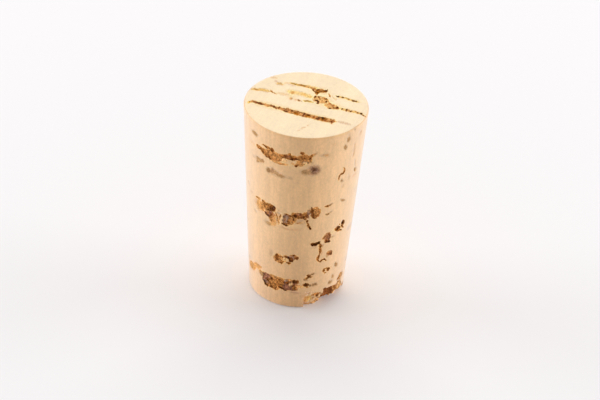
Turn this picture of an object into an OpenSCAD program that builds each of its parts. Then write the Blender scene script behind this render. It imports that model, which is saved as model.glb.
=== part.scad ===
// Tapered stopper, punched from one piece of natural cork.
// It stands on its narrow end: the origin is the centre of that end, and +Z runs up the axis.
// The pores of the cork run along X, so they show lengthwise on the -Y and +Y sides,
// lengthwise across both ends, and end-on, as small pits, on the -X and +X sides.
// A bearing is an angle round the axis in degrees, from the -Y side and positive towards +X.

/* [Stopper] */
// Diameter of the wide end
top_d = 22; // [20:0.5:25]
// Diameter of the narrow end
bottom_d = 17.2; // [16:0.1:19]
// Height from end to end
height = 38; // [36:0.5:42]
// Rounding of the two rims
rim_r = 0.3; // [0.1:0.05:0.5]

/* [Pores] */
// Share by which every pore is deeper or shallower than drawn
pore_depth = 1; // [0.6:0.05:1.3]
// Share by which every pore is wider or narrower than drawn
pore_width = 1; // [0.8:0.05:1.2]

/* [Broken edge] */
// Share by which the break in the narrow end's edge goes further or less far than drawn
break_size = 1; // [0.7:0.05:1.15]

/* [Hidden] */
$fn = 96;
top_r = top_d / 2;
bottom_r = bottom_d / 2;
RIM_STEPS = 4;

// Pits in the side: [bearing, height, length, width, depth, tilt]
SIDE_PITS = [
    // upper row on the -Y side
    [-18, 33.2, 6.6, 2.4, 1.1, 0], [17, 33.3, 5.6, 2.1, 1.0, 0], [28, 30.9, 3.2, 1.4, 0.6, 0],
    [-32, 30.3, 2.4, 1.1, 0.5, 0], [-8, 29.4, 4.6, 1.2, 0.5, 4],
    // middle row
    [-24, 20.8, 5.6, 3.0, 1.2, 8], [3, 19.8, 4.4, 2.6, 1.0, 0], [30, 21.0, 4.4, 2.2, 1.0, -6],
    // lower rows
    [5, 10.9, 5.0, 2.4, 0.9, 0], [-20, 4.9, 4.4, 3.0, 1.1, 6], [9, 5.0, 4.0, 2.7, 1.0, 0],
    [-54, 6.0, 4.0, 1.0, 0.5, -8],
    // towards the +X side, where the pores are cut more and more end-on
    [35, 14.6, 2.4, 1.1, 0.7, 0], [50, 15.2, 1.8, 2.0, 0.8, 0], [57, 11.6, 1.8, 1.2, 0.6, 25],
    [63, 16.4, 1.7, 1.1, 0.8, 10], [76, 17.2, 1.4, 1.4, 0.7, 0], [34, 7.4, 2.2, 1.0, 0.5, -15],
    [36, 5.2, 2.2, 0.9, 0.6, 5], [55, 7.9, 2.2, 1.1, 0.5, -10],
    // +Y side
    [172, 30.8, 9.0, 2.2, 1.0, 3], [203, 26.2, 4.0, 1.2, 0.6, 0], [163, 22.0, 5.0, 1.4, 0.6, -6],
    [186, 16.4, 8.6, 2.6, 1.2, 5], [158, 10.8, 4.5, 1.6, 0.7, 0], [196, 6.6, 7.0, 2.2, 0.9, -4],
    // -X side, end-on
    [-84, 29.0, 1.6, 1.5, 0.8, 0], [-98, 20.2, 1.4, 2.0, 0.8, 90], [-76, 13.4, 1.8, 1.4, 0.7, 0],
    [-104, 8.2, 2.0, 1.5, 0.7, 0]
];

// Cracks in the side: [bearing, height] of the two ends of each
SIDE_CRACKS = [
    [[25, 19.0], [30, 17.4]], [[44, 13.6], [42, 11.4]], [[41, 10.3], [49, 10.5]],
    [[57, 28.0], [62, 30.0]], [[47, 22.4], [53, 22.9]], [[74, 31.5], [74, 34.1]],
    [[79, 3.4], [84, 5.0]]
];
CRACK_W = 0.6;
CRACK_DEPTH = 0.5;

// Grooves along X in the wide end: [x, y, length, width, depth]
TOP_GROOVES = [
    [-7.4, -3.5, 4.4, 0.7, 0.5], [1.2, -3.6, 10.4, 1.1, 0.8],
    [-8.6, 0.8, 4.8, 0.6, 0.4], [-2.2, 0.8, 3.6, 0.6, 0.4], [9.4, 1.0, 4.6, 0.6, 0.4],
    [-3.6, 5.2, 4.0, 0.6, 0.4], [6.2, 4.5, 4.0, 0.6, 0.4],
    [1.4, 2.0, 2.2, 1.8, 0.7], [4.6, 1.4, 2.6, 1.8, 0.7], [1.4, 4.9, 2.8, 1.6, 0.8]
];

// Grooves along X in the narrow end: [x, y, length, width, depth]
FOOT_GROOVES = [[-2.0, -2.8, 8.0, 0.9, 0.6], [1.6, 2.2, 7.6, 0.8, 0.5], [-1.6, 5.2, 6.0, 0.6, 0.4]];

// Slanted breaks in the edge of the foot: [bearing, width, height at the side, reach inwards]
BREAKS = [
    [36, 2.2, 3.0, 0.9], [46, 1.8, 2.7, 0.95], [52.2, 0.8, 2.0, 1.25], [57.5, 1.0, 3.1, 1.8],
    [62.8, 1.2, 2.9, 2.0], [68.8, 1.2, 2.7, 1.8], [80.5, 1.6, 3.2, 1.0], [89, 1.4, 2.0, 0.8],
    [97, 1.4, 1.0, 0.45]
];
BLOCK = 6; // thickness and length of the block that cuts each of them

// Scoops that hollow the break out below its lip: [bearing, height, radius, stand-out]
SCOOPS = [[62.8, 1.8, 1.4, -0.15], [67.5, 1.5, 1.7, -0.1], [72, 1.3, 1.7, 0], [76.5, 1.6, 1.55, 0.15]];

// Radius of the side at a height
function side_r(z) = bottom_r + (top_r - bottom_r) * z / height;

// The stopper before its pores: a cone frustum with rounded rims
module blank() {
    rotate_extrude()
        polygon(concat(
            [[0, 0]],
            [for (i = [0 : RIM_STEPS])
                let (a = -90 + 90 * i / RIM_STEPS)
                [bottom_r - rim_r + rim_r * cos(a), rim_r + rim_r * sin(a)]],
            [for (i = [0 : RIM_STEPS])
                let (a = 90 * i / RIM_STEPS)
                [top_r - rim_r + rim_r * cos(a), height - rim_r + rim_r * sin(a)]],
            [[0, height]]));
}

// Cutter for one pore: an egg lying along X, its middle in the surface that it opens
module pore(length, width, depth) {
    scale([length / 2, width * pore_width / 2, depth * pore_depth])
        sphere(1);
}

// Puts a cutter on the side, its plane facing outwards; a positive tilt lowers its +X end
module on_side(bearing, z, tilt = 0) {
    rotate([0, 0, bearing])
        translate([0, -side_r(z), z])
            rotate([90, tilt, 0])
                children();
}

// Crack in the side from [bearing, height] p to q
module crack(p, q) {
    mid = (p + q) / 2;
    across = (q[0] - p[0]) * PI / 180 * side_r(mid[1]);
    up = q[1] - p[1];
    on_side(mid[0], mid[1], -atan2(up, across))
        pore(norm([across, up]), CRACK_W, CRACK_DEPTH);
}

module side_pores() {
    for (p = SIDE_PITS)
        on_side(p[0], p[1], p[5]) pore(p[2], p[3], p[4]);
    for (c = SIDE_CRACKS)
        crack(c[0], c[1]);
}

module end_pores() {
    for (g = TOP_GROOVES)
        translate([g[0], g[1], height]) pore(g[2], g[3], g[4]);
    for (g = FOOT_GROOVES)
        translate([g[0], g[1], 0]) rotate([180, 0, 0]) pore(g[2], g[3], g[4]);
}

// One slanted break, from a height on the side down to how far it reaches in at the foot
module edge_break(width, up, in) {
    translate([0, -side_r(up / 2) + in / 2, up / 2])
        rotate([atan2(in, up), 0, 0])
            translate([-width / 2, -BLOCK, -BLOCK / 2])
                cube([width, BLOCK, BLOCK]);
}

// The patch broken out of the narrow end's edge, between the -Y and +X sides
module broken_edge() {
    for (b = BREAKS)
        rotate([0, 0, b[0]])
            edge_break(b[1], b[2] * break_size, b[3] * break_size);
    for (s = SCOOPS)
        rotate([0, 0, s[0]])
            translate([0, -side_r(s[1]) - s[3], s[1]])
                sphere(s[2] * break_size);
}

module stopper() {
    color("burlywood")
        difference() {
            blank();
            side_pores();
            end_pores();
            broken_edge();
        }
}

stopper();
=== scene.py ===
"""Tapered stopper of natural cork, with its open pores and chipped foot, in a pale studio.

The stopper stands on its narrow end at the origin, +Z up its axis. The pores of the cork run
along X. A bearing is an angle round the axis in degrees, from the -Y side and positive towards +X.
"""

import contextlib
import math
from collections import namedtuple

import bmesh
import bpy
import numpy as np
from bpy.props import FloatProperty, FloatVectorProperty, IntProperty, PointerProperty
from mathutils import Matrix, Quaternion, Vector, noise


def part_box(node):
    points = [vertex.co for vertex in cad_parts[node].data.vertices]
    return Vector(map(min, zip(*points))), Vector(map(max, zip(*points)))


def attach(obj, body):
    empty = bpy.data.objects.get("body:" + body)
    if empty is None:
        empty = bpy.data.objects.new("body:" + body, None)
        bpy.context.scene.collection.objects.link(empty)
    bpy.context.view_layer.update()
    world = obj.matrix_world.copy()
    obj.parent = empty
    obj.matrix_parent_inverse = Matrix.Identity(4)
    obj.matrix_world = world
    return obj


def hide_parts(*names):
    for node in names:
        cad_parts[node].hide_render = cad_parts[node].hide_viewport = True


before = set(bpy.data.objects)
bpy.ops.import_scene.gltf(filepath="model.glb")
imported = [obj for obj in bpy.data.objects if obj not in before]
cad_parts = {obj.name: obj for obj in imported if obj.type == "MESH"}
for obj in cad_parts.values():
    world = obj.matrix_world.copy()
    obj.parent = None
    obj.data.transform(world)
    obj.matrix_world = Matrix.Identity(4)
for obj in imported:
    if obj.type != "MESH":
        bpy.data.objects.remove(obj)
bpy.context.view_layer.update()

bl_info = {
    "name": "Cork stopper",
    "version": (1, 0, 0),
    "blender": (4, 5, 0),
    "location": "View3D > Sidebar > Cork",
    "description": "Models a tapered natural cork stopper and the plain studio that it stands in",
    "category": "Object",
}

MM = 0.001
LOW, HIGH = (Vector(corner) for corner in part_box("stopper"))
PIECE = "cork_stopper"
SINK_GROUP = "sink"  # vertex group that holds how deep the vertices are sunk
TINT = "pore_tint"  # attribute with the colour laid in the pores, its alpha how far it covers
END_FACE = "end_face"  # attribute that is 1 on the two cut ends


# ---------------------------------------------------------------------------------------------
# Sizes, colours and studio settings
# ---------------------------------------------------------------------------------------------

class StopperSizes(bpy.types.PropertyGroup):
    """Sizes of the stopper and of its mesh"""

    height: FloatProperty(name="Height", description="From end to end",
                          default=HIGH.z - LOW.z, unit="LENGTH")
    top_radius: FloatProperty(name="Wide end", description="Radius of the wide end",
                              default=(HIGH.x - LOW.x) / 2, unit="LENGTH")
    foot_radius: FloatProperty(name="Narrow end", description="Radius of the narrow end",
                               default=8.6 * MM, unit="LENGTH")
    rim_radius: FloatProperty(name="Rims", description="Rounding of the two rims",
                              default=0.3 * MM, unit="LENGTH")
    deepest: FloatProperty(name="Deepest pore", description="Depth that the sink weights count to",
                           default=3.0 * MM, unit="LENGTH")
    facets: IntProperty(name="Facets", description="Facets round the plain side, a multiple of 4",
                        default=160)
    rows: IntProperty(name="Rows", description="Rows of faces up the plain side", default=90)


class CorkColours(bpy.types.PropertyGroup):
    """Colours of the cork"""

    side: FloatVectorProperty(name="Side", description="Ground side of the cork", size=3,
                              subtype="COLOR", default=(0.745, 0.445, 0.192))
    end: FloatVectorProperty(name="Ends", description="Cut ends of the cork", size=3,
                             subtype="COLOR", default=(0.91, 0.728, 0.468))
    dark: FloatVectorProperty(name="Dark", description="Deepest hollows", size=3,
                              subtype="COLOR", default=(0.30, 0.105, 0.024))
    brown: FloatVectorProperty(name="Brown", description="Walls of the pores", size=3,
                               subtype="COLOR", default=(0.47, 0.195, 0.052))
    umber: FloatVectorProperty(name="Umber", description="Brown-stained cork of the wide end", size=3,
                               subtype="COLOR", default=(0.40, 0.14, 0.014))
    drab: FloatVectorProperty(name="Drab", description="Greyish-brown stains of the side", size=3,
                              subtype="COLOR", default=(0.35, 0.195, 0.088))
    russet: FloatVectorProperty(name="Russet", description="Deep red-brown of the broken hollow", size=3,
                                subtype="COLOR", default=(0.27, 0.09, 0.028))
    # Soot is almost black dust where it lies flush on the grey oval; deep in the dark hollow of the middle
    # row it is also painted shade, darker than the hollow's depth shades it.
    soot_and_shade: FloatVectorProperty(name="Soot", description="Almost black dust", size=3,
                              subtype="COLOR", default=(0.14, 0.055, 0.024))
    rust: FloatVectorProperty(name="Rust", description="Reddish broken cork", size=3,
                              subtype="COLOR", default=(0.60, 0.27, 0.085))
    amber: FloatVectorProperty(name="Amber", description="Orange dust in the pores", size=3,
                               subtype="COLOR", default=(0.73, 0.36, 0.125))
    gold: FloatVectorProperty(name="Gold", description="Yellow stain beside the grooves", size=3,
                              subtype="COLOR", default=(0.78, 0.50, 0.15))
    grey: FloatVectorProperty(name="Grey", description="Grey dust in the pores", size=3,
                              subtype="COLOR", default=(0.36, 0.20, 0.125))
    mauve: FloatVectorProperty(name="Mauve", description="Dark reddish-grey dust", size=3,
                               subtype="COLOR", default=(0.36, 0.155, 0.085))
    ash: FloatVectorProperty(name="Ash", description="Pale grey dust", size=3,
                             subtype="COLOR", default=(0.56, 0.37, 0.26))
    pale: FloatVectorProperty(name="Pale", description="Crumbs of fresh cork", size=3,
                              subtype="COLOR", default=(0.80, 0.48, 0.22))


class StudioSettings(bpy.types.PropertyGroup):
    """Camera, lamps and floor"""

    bearing: FloatProperty(name="Bearing", description="Side that the camera looks at",
                           default=math.radians(19.0), subtype="ANGLE")
    elevation: FloatProperty(name="Elevation", description="Camera's height above the level",
                             default=math.radians(34.4), subtype="ANGLE")
    roll: FloatProperty(name="Roll", description="Camera turned about its own line of sight",
                        default=math.radians(3.385), subtype="ANGLE")
    distance: FloatProperty(name="Distance", description="From the camera to its aim",
                            default=0.4486, unit="LENGTH")
    aim_height: FloatProperty(name="Aim height", description="Height that the camera aims at",
                              default=17.67 * MM, unit="LENGTH")
    aim_aside: FloatProperty(name="Aim aside", description="Aim to the right of the axis",
                             default=-0.13 * MM, unit="LENGTH")
    lens: FloatProperty(name="Lens", description="Focal length in mm", default=150.0)
    floor: FloatVectorProperty(name="Floor", description="Pale floor", size=3,
                               subtype="COLOR", default=(0.84, 0.835, 0.84))
    sky: FloatProperty(name="Sky", description="Strength of the even light all round", default=0.64)
    key: FloatProperty(name="Key", description="Power of the lamp above and behind", default=3.4)
    wing: FloatProperty(name="Wings", description="Power of each of the two low side lamps", default=4.7)


# ---------------------------------------------------------------------------------------------
# The marks of the cork: hollows, stains and cracks
# ---------------------------------------------------------------------------------------------

# A pit is an oval hollow and a crack is a narrow line. at and path hold (bearing, height) on the
# side and (x, y) on the ends; lengths are in mm and angles in degrees. tint names a colour of the
# cork, and strength is how far that colour covers the plain one. A mark with little or no depth is
# a stain, and one with a negative depth is a crumb that fills the hollow it lies in. A later mark
# lies over the earlier ones.
Pit = namedtuple("Pit", "at size depth tint tilt strength", defaults=(0.0, 1.0))
Crack = namedtuple("Crack", "path width depth tint strength", defaults=(1.0,))

FRONT_UPPER = (
    # left half of the long pore under the rim: orange dust with dark streaks above it
    Pit((-12.5, 33.0), (4.7, 1.9), 0.6, "rust"),
    Pit((-26, 33.4), (2.0, 0.8), 0.5, "rust", 6),
    Pit((-21.5, 33.1), (0.9, 1.0), 0.8, "brown"),
    Pit((-24.5, 33.5), (1.3, 0.6), 0.7, "brown"),
    Pit((-17.5, 34.3), (2.0, 0.5), 0.6, "brown"),
    Pit((-11.4, 34.1), (0.8, 0.9), 0.9, "dark"),
    Pit((-15.5, 33.3), (1.5, 1.1), 0.8, "rust"),
    Pit((-14.2, 32.4), (0.6, 0.8), 0.9, "brown"),
    Pit((-18.5, 32.6), (0.7, 0.5), 0.7, "brown"),
    Pit((-4, 31.9), (3.4, 0.5), 0.3, "rust", 0, 0.8),
    Pit((-2.5, 33.5), (0.7, 0.6), 0.6, "rust"),
    # right half, browner
    Pit((6.5, 33.55), (3.6, 1.1), 0.6, "brown"),
    Pit((4.2, 33.7), (1.2, 0.5), 0.6, "mauve", 0, 0.7),
    Pit((6.5, 34.2), (0.6, 0.5), 0.6, "brown"),
    Pit((8.5, 33.4), (0.7, 0.8), 1.0, "dark"),
    Pit((12.8, 33.4), (0.7, 0.6), 1.0, "dark"),
    Pit((2, 33.7), (0.7, 0.5), 0.9, "dark", 0, 0.8),
    Pit((20.5, 33.5), (2.6, 2.0), 0.5, "rust"),
    Pit((20.5, 33.9), (2.5, 0.9), 0.5, "brown", 0, 0.7),
    Pit((19, 33.9), (1.0, 0.9), 0.9, "brown"),
    Pit((26.2, 34.1), (0.7, 1.2), 0.8, "brown", -20),
    Pit((28.5, 34.6), (1.4, 0.6), 0.2, "brown", 25, 0.6),
    Pit((18.3, 34.8), (0.8, 0.6), 0.7, "brown"),
    Pit((16.8, 32.6), (1.4, 1.2), 0.4, "rust", 0, 0.85),
    Pit((13, 32.05), (0.6, 0.55), 0.9, "dark"),
    Pit((9.8, 32.3), (0.8, 0.6), 0.2, "amber", 0, 0.6),
    Pit((25.5, 32.8), (1.2, 0.5), 0.2, "drab", 0, 0.6),
    Pit((23, 32.4), (1.5, 0.6), 0.1, "amber", 0, 0.35),
    Pit((1.6, 32.7), (1.0, 0.8), -0.3, "pale"),
    Pit((21, 32.8), (0.9, 0.6), -0.3, "pale"),
    Pit((39.5, 34.2), (1.9, 0.7), 0.05, "drab", 0, 0.55),
    Pit((34, 33.6), (0.8, 0.4), 0.05, "rust", 0, 0.3),
    # grey oval and the small marks beside it
    Pit((29.6, 31.1), (2.4, 2.15), 0.2, "grey"),
    Pit((23, 30.75), (2.2, 1.3), 0.1, "drab", 0, 0.8),
    Pit((29.8, 31.35), (0.9, 0.9), 0.2, "soot_and_shade", 0, 0.9),
    Pit((30.5, 30.4), (1.2, 0.6), 0.2, "soot_and_shade", 0, 0.45),
    Pit((-27.5, 30.7), (2.2, 0.9), 0.2, "drab", 0, 0.75),
    Pit((-23.4, 30.8), (1.0, 0.9), 0.25, "drab", 0, 1.0),
    Pit((-36, 33.3), (2.4, 0.8), 0.1, "amber", 0, 0.3),
    Pit((-29.5, 30.1), (0.9, 0.7), 0.25, "drab", 20, 0.8),
    Pit((-26, 30.3), (1.0, 0.4), 0.1, "drab", 0, 0.4),
    Pit((-35, 30.5), (1.4, 0.6), 0.05, "drab", 0, 0.35),
    Pit((-15.2, 29.5), (0.9, 1.2), 0.25, "drab", 0, 1.0),
    Pit((-10.9, 29.8), (1.0, 1.3), 0.15, "grey", 0, 0.85),
    Pit((-8.0, 29.5), (2.2, 1.3), 0.1, "drab", 0, 0.6),
    Pit((-4.5, 29.6), (1.5, 0.8), 0.05, "grey", 0, 0.4),
    Pit((-2.2, 29.15), (1.9, 0.8), 0.2, "drab", 3, 0.75),
    Pit((7.5, 29.15), (1.2, 0.7), 0.05, "drab", 0, 0.45),
    Pit((-34, 35.6), (1.9, 1.0), 0.1, "drab", 0, 0.75),
    Pit((-15, 26.2), (0.4, 1.8), 0.0, "amber", 0, 0.25),
)

FRONT_MIDDLE = (
    # left end: a fan of orange dust with darker streaks
    Crack(((-45, 22.0), (-41, 22.3), (-37, 22.2)), 0.3, 0.1, "brown", 0.4),
    Pit((-26.5, 20.9), (2.8, 2.7), 0.25, "rust", -15, 0.6),
    Pit((-20.5, 21.0), (2.5, 2.2), 0.4, "rust", 0, 0.85),
    Pit((-29.5, 22.15), (1.5, 0.55), 0.4, "brown", 10, 0.75),
    Pit((-21.5, 22.2), (0.9, 0.45), 0.5, "brown", 8, 0.9),
    Crack(((-32, 19.6), (-27.5, 20.2), (-23, 20.9)), 0.35, 0.3, "brown", 0.5),
    Crack(((-29, 21.7), (-25, 21.5), (-21, 21.6)), 0.3, 0.3, "rust", 0.6),
    Crack(((-26, 20.1), (-22.5, 20.6), (-18.5, 21.2)), 0.35, 0.5, "brown", 0.8),
    # the dark hollow beside it, over a second one
    Pit((-14.3, 21.45), (2.7, 1.7), 0.7, "brown"),
    Pit((-16.5, 20.9), (1.5, 0.5), 0.6, "rust", 12),
    Pit((-10.2, 21.5), (1.3, 1.3), 1.1, "dark"),
    # painted shade: an almost black spot deep in the hollow, darker than its depth shades it
    Pit((-9.2, 21.6), (0.6, 0.8), 1.1, "soot_and_shade", -15),
    Pit((-13.6, 20.0), (2.2, 1.5), 0.7, "mauve"),
    Pit((-10.3, 19.2), (1.3, 1.6), 0.35, "rust", 0, 0.8),
    Pit((-12.8, 20.9), (1.5, 0.45), 1.0, "dark", 14),
    Crack(((-13.5, 19.6), (-11.3, 20.1), (-9.2, 20.6)), 0.4, 1.0, "dark", 0.9),
    Crack(((-18.8, 19.5), (-17.0, 19.8), (-15.4, 20.2)), 0.35, 0.7, "brown"),
    Pit((-19.2, 20.35), (0.35, 0.45), -0.4, "pale"),
    Pit((-16.2, 20.5), (0.5, 0.25), -0.3, "amber", 20),
    Crack(((-11.2, 19.5), (-11.4, 18.9), (-11.0, 18.4)), 0.4, 0.5, "brown", 0.95),
    Crack(((-16.6, 21.6), (-14.6, 21.2), (-12.6, 20.7)), 0.3, -0.2, "amber", 0.8),
    # crumbs of orange dust below them
    Pit((-5.2, 19.5), (1.9, 2.6), 0.2, "rust", 0, 0.5),
    Crack(((-3.6, 19.6), (-2.6, 19.0), (-3.4, 18.4)), 0.3, 0.3, "brown", 0.8),
    Pit((-3.2, 20.9), (0.8, 0.9), 0.2, "drab", 0, 0.5),
    Pit((-13.5, 17.9), (2.4, 1.0), 0.2, "drab", 0, 0.6),
    Pit((-9, 18.4), (1.6, 1.2), 0.2, "rust", 0, 0.6),
    Crack(((-7.2, 21.0), (-6.0, 20.5), (-6.4, 19.8)), 0.34, 0.5, "brown"),
    Crack(((-5.2, 20.5), (-4.2, 19.9), (-4.4, 19.2)), 0.28, 0.4, "brown", 0.8),
    Crack(((-1.0, 20.8), (-1.5, 20.2), (-1.2, 19.5)), 0.32, 0.5, "brown", 0.85),
    Pit((-9.8, 17.9), (0.7, 0.4), 0.3, "brown", 0, 0.5),
    Pit((-3.2, 21.6), (0.5, 0.4), 0.1, "brown", 0, 0.5),
    # grey block and the streaks to the right of it
    Pit((4.9, 19.8), (1.3, 2.5), 0.4, "grey"),
    Pit((5.6, 20.0), (0.25, 1.2), -0.2, "ash", 0, 0.8),
    Crack(((3.4, 21.1), (6.2, 21.1), (9.2, 20.8)), 0.34, 0.8, "brown"),
    Pit((9.0, 20.7), (0.55, 0.5), 0.9, "dark"),
    Pit((3.9, 19.7), (0.28, 0.8), 0.6, "brown", 0, 0.8),
    Pit((5.0, 18.7), (1.2, 0.5), 0.7, "brown"),
    Pit((1.8, 18.85), (0.5, 0.3), 0.6, "brown"),
    Pit((8.4, 19.5), (0.5, 1.4), 0.7, "brown"),
    Pit((10.9, 19.9), (1.1, 2.0), 0.4, "brown", 0, 0.8),
    Crack(((11.0, 20.9), (12.6, 20.2), (12.8, 19.2)), 0.34, 0.8, "brown"),
    Pit((18.2, 20.0), (2.6, 1.5), 0.25, "russet", 0, 0.35),
    Pit((13.8, 20.2), (0.7, 1.6), 0.4, "brown", 0, 0.8),
    Crack(((14.5, 19.45), (18, 19.4), (22.5, 19.7)), 0.3, 0.4, "brown", 0.6),
    Pit((18.0, 21.05), (2.7, 1.3), 0.7, "brown", -6),
    Pit((19.2, 21.3), (1.6, 0.6), 0.7, "mauve", -6, 0.7),
    Pit((21.4, 21.1), (0.9, 0.9), 0.8, "russet", 0, 0.9),
    Pit((14.7, 21.0), (0.9, 0.8), 1.0, "dark"),
    Crack(((15.5, 20.6), (18.0, 20.6), (20.0, 20.5)), 0.4, 0.8, "brown"),
    Crack(((22.2, 21.5), (23.8, 20.9), (24.2, 20.2)), 0.34, 0.8, "dark", 0.9),
    Pit((25.4, 21.5), (1.4, 1.1), 0.6, "brown"),
    Pit((27.2, 21.1), (0.6, 0.9), 0.5, "russet", 0, 0.9),
    Pit((27.8, 22.0), (0.8, 1.2), 0.3, "grey", 0, 0.8),
    Crack(((24.6, 21.2), (25.4, 20.5), (25.6, 20.0)), 0.25, 0.4, "brown", 0.8),
    # fan at the right end and the tail that hangs from it
    Pit((34.9, 21.85), (1.9, 2.2), 0.45, "rust"),
    Crack(((32.5, 21.4), (35.5, 21.2), (38.5, 20.9)), 0.4, 0.6, "brown", 0.85),
    Pit((34, 20.6), (0.9, 0.4), 0.5, "brown", 0, 0.9),
    Crack(((30.2, 22.9), (30.6, 22.0), (31.6, 21.2), (32.8, 20.6)), 0.62, 0.9, "dark", 0.95),
    Pit((28.6, 21.3), (0.5, 0.7), 0.1, "ash", 0, 0.5),
    Crack(((29.0, 21.0), (27.6, 20.4)), 0.25, 0.1, "grey", 0.7),
    Pit((26.8, 19.9), (0.5, 0.6), 0.8, "dark"),
    Crack(((26.7, 19.6), (28.3, 18.9), (31.4, 18.1)), 0.4, 0.6, "brown"),
    Pit((30.8, 18.3), (0.5, 0.4), 0.7, "dark"),
    # hairlines and stains round it
    Crack(((-1, 18.1), (6, 17.9), (13, 17.85), (20, 17.95)), 0.45, 0.1, "rust", 0.5),
    Pit((-48.5, 23.3), (1.0, 0.9), 0.05, "grey", 0, 0.4),
    Pit((-49, 21.0), (0.8, 0.5), 0.05, "brown", 0, 0.25),
    Pit((-56, 32.0), (0.7, 1.0), 0.05, "amber", 0, 0.3),
)

FRONT_LOWER = (
    # small pore
    Pit((-0.7, 10.75), (2.4, 1.9), 0.5, "amber"),
    Pit((-3.9, 11.0), (0.7, 1.5), 0.9, "dark", 6),
    Pit((2.5, 11.25), (0.9, 0.4), 0.9, "brown"),
    Pit((1.4, 10.1), (0.9, 0.8), 0.8, "brown"),
    Pit((-1.2, 10.4), (0.5, 0.9), 0.7, "rust"),
    Pit((4.6, 11.0), (0.6, 1.2), -0.2, "pale"),
    Pit((7.3, 11.5), (1.1, 0.6), 0.7, "brown", -14),
    Pit((9.5, 11.45), (0.5, 0.6), 1.1, "dark"),
    Pit((13.3, 11.5), (1.4, 1.1), 0.4, "grey"),
    Pit((12.1, 11.0), (0.8, 1.1), 1.1, "dark"),
    Pit((14.8, 12.0), (0.9, 0.3), 0.8, "brown"),
    Pit((18.1, 11.5), (0.7, 0.8), 0.8, "brown"),
    Pit((9.7, 10.2), (0.8, 0.5), 0.6, "brown"),
    Pit((-10.8, 11.5), (0.8, 1.6), 0.1, "drab", 0, 0.4),
    # long pore near the foot: grey dust at the left, orange in the middle, a dark right end
    Pit((-2, 6.15), (6.6, 0.7), 0.4, "rust", 0, 0.9),
    Pit((-17.2, 5.0), (2.1, 2.9), 0.5, "mauve"),
    Pit((-20.3, 5.9), (0.9, 0.5), 0.7, "mauve"),
    Pit((-14.8, 5.0), (0.6, 0.8), 0.9, "dark"),
    Pit((-19.2, 4.4), (1.0, 0.6), 0.8, "grey"),
    Pit((-17.6, 3.7), (1.2, 0.6), 0.8, "brown"),
    Pit((-6.6, 4.8), (2.4, 3.1), 0.6, "rust"),
    Pit((-10.6, 5.5), (0.6, 0.6), 0.9, "dark"),
    Pit((-12, 4.5), (0.7, 0.6), 0.9, "brown"),
    Pit((-10, 3.7), (1.2, 0.8), 0.9, "brown"),
    Pit((-6.5, 4.4), (1.0, 1.1), 0.8, "brown"),
    Pit((-5.2, 5.5), (0.9, 0.9), 0.5, "brown", 0, 0.6),
    Pit((2, 5.2), (2.2, 2.0), 0.55, "brown"),
    Crack(((-2.2, 5.3), (-0.4, 4.3), (2.6, 4.05), (4.5, 4.1)), 0.5, 1.0, "brown"),
    Pit((3.4, 4.1), (1.0, 0.5), 1.1, "dark"),
    Pit((0.2, 5.9), (0.8, 0.5), 0.8, "brown"),
    Pit((5.8, 5.5), (0.5, 0.8), 1.0, "dark"),
    Pit((8, 4.7), (1.3, 1.3), 0.5, "mauve"),
    Pit((7.2, 5.8), (0.4, 0.9), -0.3, "ash"),
    Pit((7, 3.9), (0.7, 0.4), 0.9, "dark"),
    Pit((13.4, 4.95), (2.6, 2.2), 0.55, "mauve"),
    Pit((11, 5.6), (1.2, 0.8), 1.1, "dark"),
    Pit((14.2, 4.3), (2.2, 0.8), 0.8, "mauve"),
    Pit((13.5, 5.4), (0.6, 0.9), -0.4, "pale"),
    Pit((16.3, 5.1), (0.6, 0.6), 1.1, "dark"),
    Pit((17.2, 6.1), (0.9, 0.8), 1.0, "dark"),
    Pit((20.4, 6.0), (0.5, 0.8), 0.9, "brown"),
    Pit((17.7, 4.5), (0.9, 0.9), 0.9, "brown"),
    Pit((23.5, 4.9), (2.2, 0.9), 0.1, "amber", 0, 0.6),
    Pit((22.4, 5.2), (0.9, 0.5), 0.2, "brown", 0, 0.7),
    Pit((18, 3.55), (1.8, 0.7), 0.1, "mauve", 0, 0.45),
    # orange streaks round to the left
    Pit((-26.0, 5.7), (1.3, 1.2), 0.25, "drab", 0, 0.85),
    Pit((-28.0, 6.9), (1.3, 0.8), 0.2, "drab", 0, 0.75),
    Pit((-39, 6.0), (5.0, 2.2), 0.0, "amber", 12, 0.35),
    Pit((-34, 6.5), (3.0, 1.7), 0.1, "brown", 6, 0.62),
    Pit((-34.5, 6.4), (1.2, 0.9), 0.2, "drab", 0, 0.5),
    Pit((-46, 5.35), (4.0, 2.0), 0.1, "brown", 20, 0.7),
    Pit((-47.5, 5.2), (1.8, 1.1), 0.2, "drab", 10, 0.5),
    Pit((-42.5, 6.0), (1.4, 0.9), 0.1, "drab", 20, 0.4),
    Pit((-51, 6.3), (3.0, 1.4), 0.05, "drab", 20, 0.4),
    Pit((-34.5, 18.8), (1.0, 0.8), 0.1, "drab", 0, 0.5),
    Pit((-56, 14.6), (1.2, 0.8), 0.05, "drab", 20, 0.25),
)

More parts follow.
